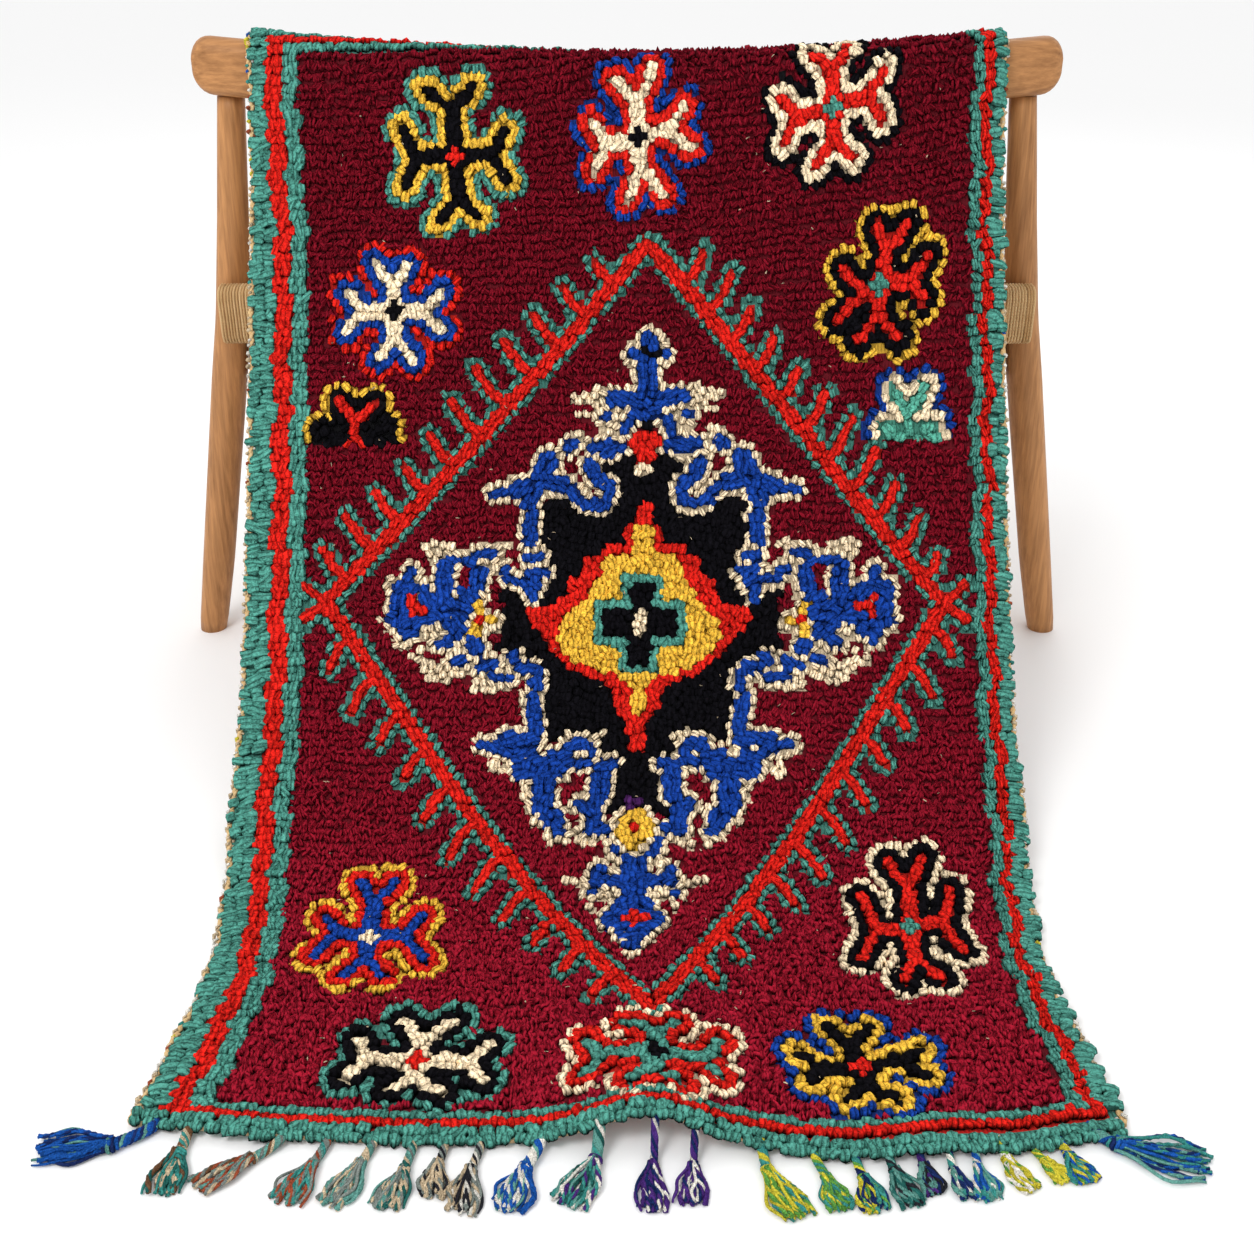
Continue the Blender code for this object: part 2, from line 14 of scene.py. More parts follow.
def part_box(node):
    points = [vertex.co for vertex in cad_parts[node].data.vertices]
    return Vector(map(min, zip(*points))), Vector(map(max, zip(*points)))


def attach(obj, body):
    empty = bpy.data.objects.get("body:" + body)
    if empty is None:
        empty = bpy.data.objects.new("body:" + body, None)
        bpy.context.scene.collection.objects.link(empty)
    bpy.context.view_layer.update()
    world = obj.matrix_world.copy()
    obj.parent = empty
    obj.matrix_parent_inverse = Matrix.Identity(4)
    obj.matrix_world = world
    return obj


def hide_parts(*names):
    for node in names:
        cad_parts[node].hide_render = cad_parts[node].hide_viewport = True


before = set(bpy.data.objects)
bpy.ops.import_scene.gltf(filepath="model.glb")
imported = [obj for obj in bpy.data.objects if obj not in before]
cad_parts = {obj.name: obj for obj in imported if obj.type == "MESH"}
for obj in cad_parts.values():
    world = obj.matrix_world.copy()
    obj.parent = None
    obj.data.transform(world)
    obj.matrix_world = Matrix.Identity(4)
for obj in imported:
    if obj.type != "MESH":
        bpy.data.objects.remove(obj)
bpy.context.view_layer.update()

# ---- the chair, as built -------------------------------------------------
LEG_PLANE = 0.094            # the rear legs, behind the rug's crest at the middle
RAIL_HALF_SPAN = 0.500
RAIL_THICK = 0.040
RAIL_TALL = 0.0635
RAIL_TOP = 0.770
RAIL_BOW = 0.064             # towards the viewer at the middle
RAIL_DIP = 0.020
RAIL_END_ROUND = 0.022
SEAT_DEPTH = 0.420           # rear legs to front legs
SEAT_THICK = 0.016
SEAT_SAG = 0.012
# height, half spread, diameter
REAR_LEG = ((0.000, 0.571, 0.037), (0.103, 0.551, 0.042), (0.361, 0.505, 0.045),
            (0.441, 0.491, 0.043), (0.560, 0.477, 0.038))
REAR_LEG_TOP = (0.462, 0.032)
FRONT_LEG = ((0.000, 0.552, 0.036), (0.140, 0.530, 0.041), (0.300, 0.500, 0.044),
             (0.4185, 0.481, 0.043))
LEG_GAP = 0.0003

# ---- the rug, as built ---------------------------------------------------
RUG_THICK = 0.010
RUG_WIDTH = 0.850
RUG_LENGTH = 1.269           # crest to front edge
CREST_GAP = 0.0008
CREST_CLEAR = 0.0025
BACK_END = -0.097            # row of the end behind the rail
BACK_SLANT = -0.130          # that end is cut askew, per metre across
SLANT_FADE = 0.620           # the rows are square to the sides from here on
# forward places and heights of the four points that draw the fall
FALL = ((0.000, 0.750), (0.050, 0.500), (0.240, 0.020), (0.560, 0.005))
FLOOR_END = 0.847
BOW_FADE = 0.450             # the rail's bow has died out in the cloth here
CREST_EASE = 0.25            # from here on the cloth keeps to the curve of the fall
FRONT_EASE = 0.95            # the front edge's outline is felt from here on
# row, width there
WIDTHS = ((-0.200, 0.850), (0.000, 0.850), (0.560, 0.856), (0.830, 0.848), (0.950, 0.822),
          (1.040, 0.802), (1.110, 0.805), (1.180, 0.823), (1.275, 0.846))
# across, how far forward the front edge reaches there
FRONT_EDGE = ((-0.430, -0.020), (-0.300, -0.004), (-0.150, 0.000), (-0.050, 0.001),
              (0.020, -0.004), (0.090, 0.004), (0.190, 0.011), (0.300, 0.002), (0.430, -0.016))
# across, row, half width, half length and height of each ripple on the floor
FOLDS = ((0.018, 1.290, 0.070, 0.150, 0.030), (-0.330, 1.300, 0.055, 0.070, 0.006),
         (0.250, 1.300, 0.060, 0.080, 0.005), (-0.430, 1.080, 0.060, 0.090, 0.006),
         (0.430, 1.120, 0.060, 0.100, 0.007))

# ---- knots ---------------------------------------------------------------
KNOT_COLUMNS = 106
# row, height of a knot there: the rows lie closer towards the front edge
ROW_PITCH = ((-0.100, 0.0104), (0.250, 0.0100), (0.700, 0.0096), (1.000, 0.0090), (1.270, 0.0086))
WEAVE_TOP = -0.0005          # the ground weave's upper face, from the rug's middle layer
PILE_LIFT = 0.0022
PILE_TALL = 0.0044           # half the height of a tuft
FLOOR_CLEAR = 0.0002         # no tuft lies lower than this

# ---- yarns ---------------------------------------------------------------
MAROON, TEAL, RED, CREAM, BLUE, BLACK, YELLOW, MINT, PURPLE = range(9)
YARN_NAMES = ("maroon", "teal", "red", "cream", "blue", "black", "yellow", "mint", "purple")
# linear colour of each dyed yarn
YARN_COLOURS = ((0.188, 0.0056, 0.0150), (0.078, 0.290, 0.232), (0.680, 0.016, 0.010),
                (0.970, 0.780, 0.520), (0.0085, 0.050, 0.310), (0.0040, 0.0036, 0.0052),
                (0.860, 0.500, 0.052), (0.095, 0.385, 0.285), (0.060, 0.014, 0.090))

rng = np.random.default_rng(20)


# ---- form of the cloth ---------------------------------------------------
def smooth_step(value):
    """0 to 1 with level ends."""
    value = np.clip(value, 0.0, 1.0)
    return value * value * (3.0 - 2.0 * value)


def read_table(table, key, column=1):
    """A table's value at a place between its rows, eased along each row."""
    keys = np.array([row[0] for row in table])
    values = np.array([row[column] for row in table])
    index = np.clip(np.searchsorted(keys, key) - 1, 0, len(keys) - 2)
    share = smooth_step((key - keys[index]) / (keys[index + 1] - keys[index]))
    return values[index] + share * (values[index + 1] - values[index])


def rail_share(x):
    """1 at the rail's middle, easing to 0 at its ends."""
    return np.maximum(np.cos(math.pi * x / (2.0 * RAIL_HALF_SPAN)), 0.0)


def rail_bow(x):
    return RAIL_BOW * rail_share(x)


def rail_dip(x):
    return RAIL_DIP * rail_share(x)


def fall_curve():
    """Lengths, forward places and heights along the middle, from crest to front edge."""
    t = np.linspace(0.0, 1.0, 160)
    shares = np.array([(1 - t) ** 3, 3 * (1 - t) ** 2 * t, 3 * (1 - t) * t ** 2, t ** 3])
    forward, height = np.array(FALL).T @ shares
    forward = np.append(forward, FLOOR_END + 0.1)
    height = np.append(height, FALL[3][1])
    length = np.append(0.0, np.cumsum(np.hypot(np.diff(forward), np.diff(height))))
    return length, forward, height


LENGTH_KEYS, FORWARD_KEYS, HEIGHT_KEYS = fall_curve()
CREST_RADIUS = RAIL_THICK / 2.0 + CREST_CLEAR + RUG_THICK / 2.0
FIRST_TURN = math.atan2(FALL[1][0] - FALL[0][0], FALL[0][1] - FALL[1][1])
CREST_HEIGHT = RAIL_TOP - RAIL_DIP + CREST_GAP + RUG_THICK / 2.0
LEG_Y = (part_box("apron_rear")[0][1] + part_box("apron_rear")[1][1]) / 2.0
MIDDLE_Y = LEG_Y - LEG_PLANE   # y of the rug's crest at the middle


def side_view(along):
    """Forward place and height of the cloth's middle layer over a straight, undipped rail."""
    centre_f = RAIL_BOW - LEG_PLANE
    centre_z = CREST_HEIGHT - CREST_RADIUS
    ease = 1.0 - smooth_step(along / CREST_EASE)
    start_f = centre_f + CREST_RADIUS * math.cos(FIRST_TURN)
    start_z = centre_z + CREST_RADIUS * math.sin(FIRST_TURN)
    forward = np.interp(along, LENGTH_KEYS, FORWARD_KEYS) + (start_f - FALL[0][0]) * ease
    height = np.interp(along, LENGTH_KEYS, HEIGHT_KEYS) + (start_z - FALL[0][1]) * ease
    turn = FIRST_TURN - along / CREST_RADIUS
    bent = np.minimum(turn, math.pi)
    over_f = centre_f + CREST_RADIUS * np.cos(bent)
    over_z = centre_z + CREST_RADIUS * (np.sin(bent) - np.maximum(turn - math.pi, 0.0))
    return np.where(along >= 0.0, forward, over_f), np.where(along >= 0.0, height, over_z)


def layer_points(across, along):
    """Points of the cloth's middle layer; across is measured on the full width."""
    x = across * read_table(WIDTHS, along) / RUG_WIDTH
    forward, height = side_view(along)
    fade = 1.0 - smooth_step(along / BOW_FADE)
    forward = forward - (RAIL_BOW - rail_bow(x)) * fade
    height = height + (RAIL_DIP - rail_dip(x)) * fade
    reach = smooth_step((along - FRONT_EASE) / (RUG_LENGTH - FRONT_EASE))
    forward = forward + read_table(FRONT_EDGE, across) * reach
    for fold_x, fold_v, half_x, half_v, rise in FOLDS:
        distance = ((x - fold_x) / half_x) ** 2 + ((along - fold_v) / half_v) ** 2
        height = height + rise * np.exp(-distance)
    return np.stack([x, MIDDLE_Y - forward, height], axis=-1)


def unit(vectors):
    return vectors / np.linalg.norm(vectors, axis=-1, keepdims=True)


def slanted(across, row):
    """A row's true place at a point across: the rows near the back end run askew."""
    fade = 1.0 - smooth_step((row - BACK_END) / (SLANT_FADE - BACK_END))
    return row + BACK_SLANT * across * fade


def frame_along(across, along, step=0.004):
    """Place, sideways, downwards and outwards on the cloth's middle layer."""
    place = layer_points(across, along)
    over = unit(layer_points(across + step, along) - layer_points(across - step, along))
    down = unit(layer_points(across, along + step) - layer_points(across, along - step))
    out = unit(np.cross(down, over))
    return place, over, unit(np.cross(over, out)), out


def cloth_frame(across, row):
    """The same at a place that is given by its row."""
    return frame_along(across, slanted(across, row))


# ---- pattern -------------------------------------------------------------
# outer, red and inner band of each side border: distance from the middle line
LEFT_BANDS = (0.400, 0.380, 0.362)
RIGHT_BANDS = (0.413, 0.401, 0.390)
# height, waves and shift of the bands' drift; the left ones also lie farther out at the top
BORDER_WAVES = ((0.0022, 61.0, 1.3), (0.0020, 143.0, 1.0), (0.0012, 391.0, 2.0))
LEFT_DRIFT = 0.008
LEFT_DRIFT_END = 0.20
SIDE_REACH = {-1.0: 0.4244, 1.0: 0.4278}  # how far out the pads of each side lie
BACK_BANDS = (0.0170, 0.0290, 0.0400)    # the same bands along the back end, from its edge
FRONT_BANDS = (0.0110, 0.0200, 0.0275)   # and along the front edge
# Flowers: x and row of the eye, yarns of line, body, rim and eye, then the fork and
# the two tips of the upper, right, lower and left stem, in millimetres from the eye.
FLOWERS = (
    (-0.192, 0.070, BLACK, YELLOW, TEAL, RED,
     (((-2, -54), (-33, -82), (21, -80)), ((42, 2), (56, -28), (58, 34)),
      ((3, 50), (-19, 80), (26, 76)), ((-44, -2), (-60, -38), (-57, 36)))),
    (0.012, 0.065, CREAM, RED, BLUE, BLACK,
     (((0, -38), (-27, -66), (16, -73)), ((33, -2), (50, -28), (59, 20)),
      ((2, 33), (-11, 75), (30, 72)), ((-34, 4), (-51, -22), (-48, 36)))),
    (0.229, 0.064, RED, CREAM, BLACK, TEAL,
     (((-2, -36), (-25, -62), (18, -66)), ((40, -6), (56, -30), (58, 24)),
      ((2, 34), (-18, 62), (25, 60)), ((-39, 2), (-58, -20), (-54, 32)))),
    (-0.263, 0.252, CREAM, BLUE, RED, BLACK,
     (((-1, -23), (-21, -56), (15, -52)), ((32, 4), (54, -20), (54, 26)),
      ((0, 30), (-17, 56), (21, 58)), ((-36, 0), (-53, -24), (-53, 20)))),
    (0.285, 0.262, RED, BLACK, YELLOW, TEAL,
     (((7, -31), (-4, -63), (33, -60)), ((35, -2), (56, -24), (51, 20)),
      ((-1, 32), (-25, 54), (23, 55)), ((-17, 6), (-41, -20), (-48, 31)))),
    (-0.269, 1.010, BLUE, RED, YELLOW, CREAM,
     (((3, -48), (-15, -80), (22, -80)), ((36, -2), (55, -33), (61, 36)),
      ((-2, 32), (-21, 57), (20, 57)), ((-35, -10), (-47, -32), (-56, 29)))),
    (0.296, 0.993, RED, BLACK, CREAM, TEAL,
     (((4, -53), (-17, -90), (21, -95)), ((36, -8), (48, -53), (54, 40)),
      ((1, 47), (-15, 80), (24, 78)), ((-35, 6), (-47, -44), (-53, 46)))),
    (-0.194, 1.180, CREAM, BLACK, TEAL, RED,
     (((1, -26), (-24, -52), (27, -52)), ((46, -1), (66, -21), (63, 24)),
      ((0, 23), (-21, 34), (28, 38)), ((-47, -2), (-60, -26), (-62, 24)))),
    (0.025, 1.190, TEAL, RED, CREAM, BLACK,
     (((4, -30), (-27, -48), (22, -48)), ((44, -4), (63, -34), (58, 16)),
      ((-1, 26), (-21, 38), (22, 38)), ((-48, -4), (-63, -30), (-64, 18)))),
    (0.215, 1.180, BLACK, YELLOW, BLUE, RED,
     (((-5, -28), (-21, -50), (18, -46)), ((37, -4), (60, -17), (58, 18)),
      ((0, 22), (-19, 36), (25, 40)), ((-38, -1), (-56, -17), (-48, 18)))))
# The same for the two half flowers, with the yarn of the side lobes in the eye's column.
HALF_FLOWERS = (
    (-0.308, 0.402, RED, BLACK, YELLOW, BLACK,
     (((0, -20), (-17, -46), (22, -42)), ((12, 0), (34, -14), (36, 6)),
      ((-12, 0), (-36, -12), (-36, 8)))),
    (0.319, 0.412, MINT, CREAM, BLUE, MINT,
     (((-2, -18), (-18, -44), (19, -46)), ((10, 0), (28, -8), (30, 6)),
      ((-10, 0), (-29, -6), (-30, 6)))))
HALF_FLOWER_EDGE = 0.009     # their straight lower edge, below the eye
FLOWER_BOX = (0.10, 0.13)    # no flower reaches farther than this from its eye
# the eye: a plus of five knots, four knots of the line's yarn between its arms, their size
EYE_PLUS = ((0, 0), (0, -8), (0, 8), (-7, 0), (7, 0))
EYE_CORNERS = ((-8, -9), (8, -9), (8, 9), (-8, 9))
EYE_KNOT = (0.0052, 0.0054)
EYE_CLEAR = 0.0125
EYE_REACH = 0.011
# distance from a stroke, spacing, half width and half length of the knots
LINE_KNOTS = (-0.0030, 0.0078, 0.0064, 0.0062)
BODY_KNOTS = (0.0070, 0.0090, 0.0056, 0.0062)
RIM_KNOTS = (0.0152, 0.0096, 0.0045, 0.0056)
HALF_RIM_KNOTS = (0.0145, 0.0108, 0.0044, 0.0056)
RIM_REACH, BODY_REACH, LINE_REACH = 0.0176, 0.0116, 0.0026
KNOT_STEP = 0.0092           # rows that the motifs' knots are drawn to
KNOT_SCATTER = 0.0014
STEM_HALF = 0.0066
STEM_CLEAR = 0.0065
FORK_HALF = 0.0044

# The toothed diamond: corners, then for each side its ends, the shares along it of
# the first and the last tooth, and how far a tooth reaches.
DIAMOND_TOP = (0.023, 0.192)
DIAMOND_LEFT = (-0.337, 0.597)
DIAMOND_RIGHT = (0.355, 0.599)
DIAMOND_BOTTOM = (0.022, 1.120)
DIAMOND_SIDES = ((DIAMOND_TOP, DIAMOND_LEFT, 0.10, 0.93, (-0.034, -0.038)),
                 (DIAMOND_TOP, DIAMOND_RIGHT, 0.12, 0.93, (0.026, -0.038)),
                 (DIAMOND_LEFT, DIAMOND_BOTTOM, 0.08, 0.90, (-0.027, 0.041)),
                 (DIAMOND_RIGHT, DIAMOND_BOTTOM, 0.05, 0.86, (0.028, 0.039)))
TEETH = 11
CORNER_STROKES = ((DIAMOND_LEFT, (-0.026, -0.020)), (DIAMOND_LEFT, (-0.028, 0.022)),
                  (DIAMOND_RIGHT, (0.024, -0.022)), (DIAMOND_RIGHT, (0.026, 0.020)))
BAND_KNOTS = (0.0015, 0.0080, 0.0052, 0.0058)
TOOTH_KNOTS = (0.0, 0.0072, 0.0060, 0.0058)
DOT_KNOTS = (0.0090, 0.0112, 0.0037, 0.0050)
BAND_HALF = 0.0021
BAND_CLEAR = 0.0050          # the teeth's knots start this far from the band
DOT_REACH, BAND_REACH = 0.0130, 0.0060


def motif_strokes(x, s, stems):
    """The strokes of a flower: from the eye to each fork, and on to its two tips."""
    strokes = []
    for fork, *tips in stems:
        joint = (x + fork[0] / 1000.0, s + fork[1] / 1000.0)
        strokes.append((x, s, *joint, STEM_HALF))
        for tip in tips:
            strokes.append((*joint, x + tip[0] / 1000.0, s + tip[1] / 1000.0, FORK_HALF))
    return np.array(strokes)


def diamond_strokes():
    """The strokes of the diamond's band, and those of its teeth."""
    sides = []
    teeth = []
    for start, end, first, last, reach in DIAMOND_SIDES:
        sides.append((*start, *end, BAND_HALF))
        for i in range(TEETH):
            share = first + (last - first) * i / (TEETH - 1)
            foot = [a + share * (b - a) for a, b in zip(start, end)]
            length = 1.0 + 0.16 * math.sin(5.3 * i + 40.0 * end[0])
            length *= 0.78 if i in (0, TEETH - 1) else 1.0
            elbow = (foot[0] + 0.52 * reach[0], foot[1] + 0.30 * reach[1])
            tip = (foot[0] + length * reach[0], foot[1] + length * reach[1])
            teeth.append((*foot, *elbow, 0.0))
            teeth.append((*elbow, *tip, 0.0))
    for corner, reach in CORNER_STROKES:
        teeth.append((*corner, corner[0] + reach[0], corner[1] + reach[1], 0.0))
    return np.array(sides), np.array(teeth)


def nearest_stroke(x, s, strokes):
    """How far each place lies outside its nearest stroke, and that stroke's direction.

    A stroke is a line with round ends: x and row of its start and end, and half its width.
    """
    nearest = np.full(len(x), np.inf)
    ways = np.zeros((len(x), 2))
    for x0, s0, x1, s1, half in strokes:
        length = max(math.hypot(x1 - x0, s1 - s0), 1e-6)
        way = ((x1 - x0) / length, (s1 - s0) / length)
        along = np.clip((x - x0) * way[0] + (s - s0) * way[1], 0.0, length)
        distance = np.hypot(x - x0 - along * way[0], s - s0 - along * way[1]) - half
        closer = distance < nearest
        nearest[closer] = distance[closer]
        ways[closer] = way
    return nearest, ways


def places_round(strokes, reach, spacing):
    """Evenly spaced places along the line that runs round the strokes at one distance.

    Inside a stroke that is narrower than twice the reach they lie along its middle.
    """
    step = 0.0008
    slack = 0.0003
    found = []
    least = []
    for x0, s0, x1, s1, half in strokes:
        start, end = np.array((x0, s0)), np.array((x1, s1))
        length = max(np.hypot(*(end - start)), 1e-6)
        way = (end - start) / length
        side = np.array((way[1], -way[0]))
        middle = start + np.linspace(0.0, 1.0, max(int(length / step), 2))[:, None] * (end - start)
        radius = reach + half
        if radius < 2.0 * step:
            found.append(middle)
            least.append(np.full(len(middle), -half - slack))
            continue
        turn = np.linspace(0.0, math.pi, max(int(math.pi * radius / step), 3))[:, None]
        ring = (middle + side * radius, end + radius * (np.cos(turn) * side + np.sin(turn) * way),
                (middle - side * radius)[::-1],
                start - radius * (np.cos(turn) * side + np.sin(turn) * way))
        found.extend(ring)
        least.append(np.full(sum(len(part) for part in ring), reach - slack))
    found = np.concatenate(found)
    distance, along = nearest_stroke(found[:, 0], found[:, 1], strokes)
    outside = distance > np.concatenate(least)
    found, along = found[outside], along[outside]
    taken = []
    for index, place in enumerate(found):
        gap = found[taken] - place
        if not taken or np.hypot(gap[:, 0], gap[:, 1]).min() > spacing:
            taken.append(index)
    return found[taken], along[taken]


def border_wave(x, s):
    """How far the side bands drift inwards along the rug."""
    wave = sum(high * np.sin(s * waves + np.sign(x) * shift) for high, waves, shift in BORDER_WAVES)
    return wave - LEFT_DRIFT * (np.sign(x) < 0.0) * smooth_step((LEFT_DRIFT_END - s) / LEFT_DRIFT_END)


def paint_border(yarn, x, s):
    """The bands round the edge; gives how many of them lie outside each place."""
    side = np.abs(x)
    wave = border_wave(x, s)
    level = np.zeros(len(x))
    for left, right in zip(LEFT_BANDS, RIGHT_BANDS):
        level += side + wave < np.where(x < 0.0, left, right)
    end_level = np.zeros(len(x))
    for back, front in zip(BACK_BANDS, FRONT_BANDS):
        end_level += (s - BACK_END + wave * 0.4 > back) & (RUG_LENGTH - s + wave * 0.4 > front)
    level = np.minimum(level, end_level)
    for step, colour in ((0, TEAL), (1, RED), (2, TEAL)):
        yarn[level == step] = colour
    return level


def paint_motifs(yarn, x, s):
    """The flowers and the diamond, as they show between the knots and on the rug's back."""
    for flowers, edge in ((FLOWERS, FLOWER_BOX[1]), (HALF_FLOWERS, HALF_FLOWER_EDGE)):
        for cx, cs, line, body, rim, eye, stems in flowers:
            near = np.flatnonzero((np.abs(x - cx) < FLOWER_BOX[0]) & (np.abs(s - cs) < FLOWER_BOX[1])
                                  & (s < cs + edge))
            distance, _ = nearest_stroke(x[near], s[near], motif_strokes(cx, cs, stems))
            for reach, colour in ((RIM_REACH, rim), (BODY_REACH, body), (LINE_REACH, line)):
                yarn[near[distance < reach]] = colour
            if flowers is HALF_FLOWERS:
                lobes = motif_strokes(cx, cs, stems[1:])
                inside = nearest_stroke(x[near], s[near], lobes)[0] < LINE_REACH
            else:
                inside = np.hypot(x[near] - cx, s[near] - cs) < EYE_REACH
            yarn[near[inside]] = eye
    sides, teeth = diamond_strokes()
    nearest = np.minimum(nearest_stroke(x, s, sides)[0], nearest_stroke(x, s, teeth)[0])
    yarn[nearest < DOT_REACH] = TEAL
    yarn[nearest < BAND_REACH] = RED


class Knots:
    """Knots set one by one: places, yarns, turns from the rows' own way, and half sizes."""

    def __init__(self):
        self.rows = []

    def add(self, places, yarn, turns, wide, long):
        for (x, s), turn in zip(places, turns):
            self.rows.append((x, s, yarn, turn, wide, long))

    def sew(self, strokes, layer, yarn, follow, dropped=0.0, inside=None, stepped=0.0):
        """A line of knots round the strokes; follow lays them along it, dropped leaves gaps,
        and stepped draws them to the rows of the weave."""
        reach, spacing, wide, long = layer
        places, along = places_round(strokes, reach, spacing)
        rows = np.round(places[:, 1] / KNOT_STEP) * KNOT_STEP
        places[:, 1] += stepped * (rows - places[:, 1])
        keep = rng.random(len(places)) >= dropped
        if inside is not None:
            keep &= inside(places)
        places, along = places[keep], along[keep]
        along = along * np.where(along[:, 1:] < 0.0, -1.0, 1.0)
        turns = np.arctan2(-along[:, 0], along[:, 1]) * follow
        turns = turns + (0.20 if follow > 0.5 else 0.45) * rng.standard_normal(len(turns))
        places = places + rng.uniform(-KNOT_SCATTER, KNOT_SCATTER, places.shape)
        self.add(places, yarn, turns, wide, long)

    def table(self):
        return np.array(self.rows)


def sew_flower(knots, row):
    """Knots along a flower's line, its body and its rim, and then its eye."""
    cx, cs, line, body, rim, eye, stems = row
    strokes = motif_strokes(cx, cs, stems)

    def past_eye(places):
        return np.hypot(places[:, 0] - cx, places[:, 1] - cs) > EYE_CLEAR

    knots.sew(strokes, LINE_KNOTS, line, follow=0.15, inside=past_eye, stepped=0.6)
    knots.sew(strokes, BODY_KNOTS, body, follow=0.15, inside=past_eye, stepped=0.7)
    knots.sew(strokes, RIM_KNOTS, rim, follow=0.20, dropped=0.08, stepped=0.6)
    for offsets, yarn in ((EYE_PLUS, eye), (EYE_CORNERS, line)):
        places = np.array(offsets) / 1000.0 + (cx, cs)
        knots.add(places, yarn, 0.3 * rng.standard_normal(len(places)), *EYE_KNOT)


def sew_half_flower(knots, row):
    """The upper stem is a line in a body, with a lobe on either side, cut off flat."""
    cx, cs, line, body, rim, lobe, stems = row
    stem, lobes = motif_strokes(cx, cs, stems[:1]), motif_strokes(cx, cs, stems[1:])

    def above_edge(places):
        return places[:, 1] < cs + HALF_FLOWER_EDGE

    stem[:, 4] = FORK_HALF
    knots.sew(stem, LINE_KNOTS, line, follow=0.3)
    knots.add([(cx - 0.009, cs + 0.005), (cx + 0.009, cs + 0.006)], line, (0.5, -0.5), 0.0050, 0.0054)

    def off_stem(places):
        return nearest_stroke(places[:, 0], places[:, 1], stem)[0] > STEM_CLEAR

    knots.sew(lobes, LINE_KNOTS, lobe, follow=0.3, inside=lambda p: above_edge(p) & off_stem(p))
    both = np.concatenate([stem, lobes])
    for layer, yarn, dropped in ((BODY_KNOTS, body, 0.12), (HALF_RIM_KNOTS, rim, 0.05)):
        knots.sew(both, layer, yarn, follow=0.3, dropped=dropped, inside=above_edge, stepped=0.5)


def sew_side_bands(knots, rows):
    """The red and the inner teal band of both sides: two knots of each in a row."""
    middles = (rows[:-1] + rows[1:]) / 2.0
    heights = np.diff(rows)
    for side, bands in ((-1.0, LEFT_BANDS), (1.0, RIGHT_BANDS)):
        for step, yarn in ((0, RED), (1, TEAL)):
            from_end = (BACK_BANDS[step], FRONT_BANDS[step])
            keep = (middles - BACK_END > from_end[0]) & (RUG_LENGTH - middles > from_end[1])
            for s, tall in zip(middles[keep], heights[keep]):
                drift = border_wave(side, s)
                outer = bands[step] - drift + rng.uniform(-0.0012, 0.0012)
                inner = bands[step + 1] - drift + rng.uniform(-0.0012, 0.0012)
                joint = inner + (outer - inner) * rng.uniform(0.38, 0.62)
                for start, end in ((inner, joint), (joint, outer)):
                    place = (side * (start + end) / 2.0, s + rng.uniform(-0.0018, 0.0018))
                    knots.add([place], yarn, [0.28 * rng.standard_normal()], (end - start) * 0.62,
                              tall * rng.uniform(0.56, 0.74))


def sew_end_bands(knots):
    """The same bands along both ends, between the side bands."""
    for end, bands, way in ((BACK_END, BACK_BANDS, 1.0), (RUG_LENGTH, FRONT_BANDS, -1.0)):
        for step, yarn in ((0, RED), (1, TEAL)):
            limit = (LEFT_BANDS[step] + 0.002, RIGHT_BANDS[step] + 0.002)
            for x in np.arange(-limit[0], limit[1], 0.0082):
                outer, inner = bands[step], bands[step + 1]
                place = (x + rng.uniform(-0.001, 0.001),
                         end + way * ((outer + inner) / 2.0 + rng.uniform(-0.0012, 0.0012)))
                knots.add([place], yarn, [0.25 * rng.standard_normal()], 0.0052,
                          (inner - outer) * 0.62)


def sew_motifs(rows):
    """Every knot that isn't of the maroon field."""
    knots = Knots()
    sew_side_bands(knots, rows)
    sew_end_bands(knots)
    for row in FLOWERS:
        sew_flower(knots, row)
    for row in HALF_FLOWERS:
        sew_half_flower(knots, row)
    sides, teeth = diamond_strokes()
    knots.sew(sides, BAND_KNOTS, RED, follow=0.6, stepped=0.7)

    def off_band(places):
        return nearest_stroke(places[:, 0], places[:, 1], sides)[0] > BAND_CLEAR

    knots.sew(teeth, TOOTH_KNOTS, RED, follow=0.8, inside=off_band)
    knots.sew(np.concatenate([sides, teeth]), DOT_KNOTS, TEAL, follow=0.5, dropped=0.04)
    sew_medallion(knots)
    return knots.table()


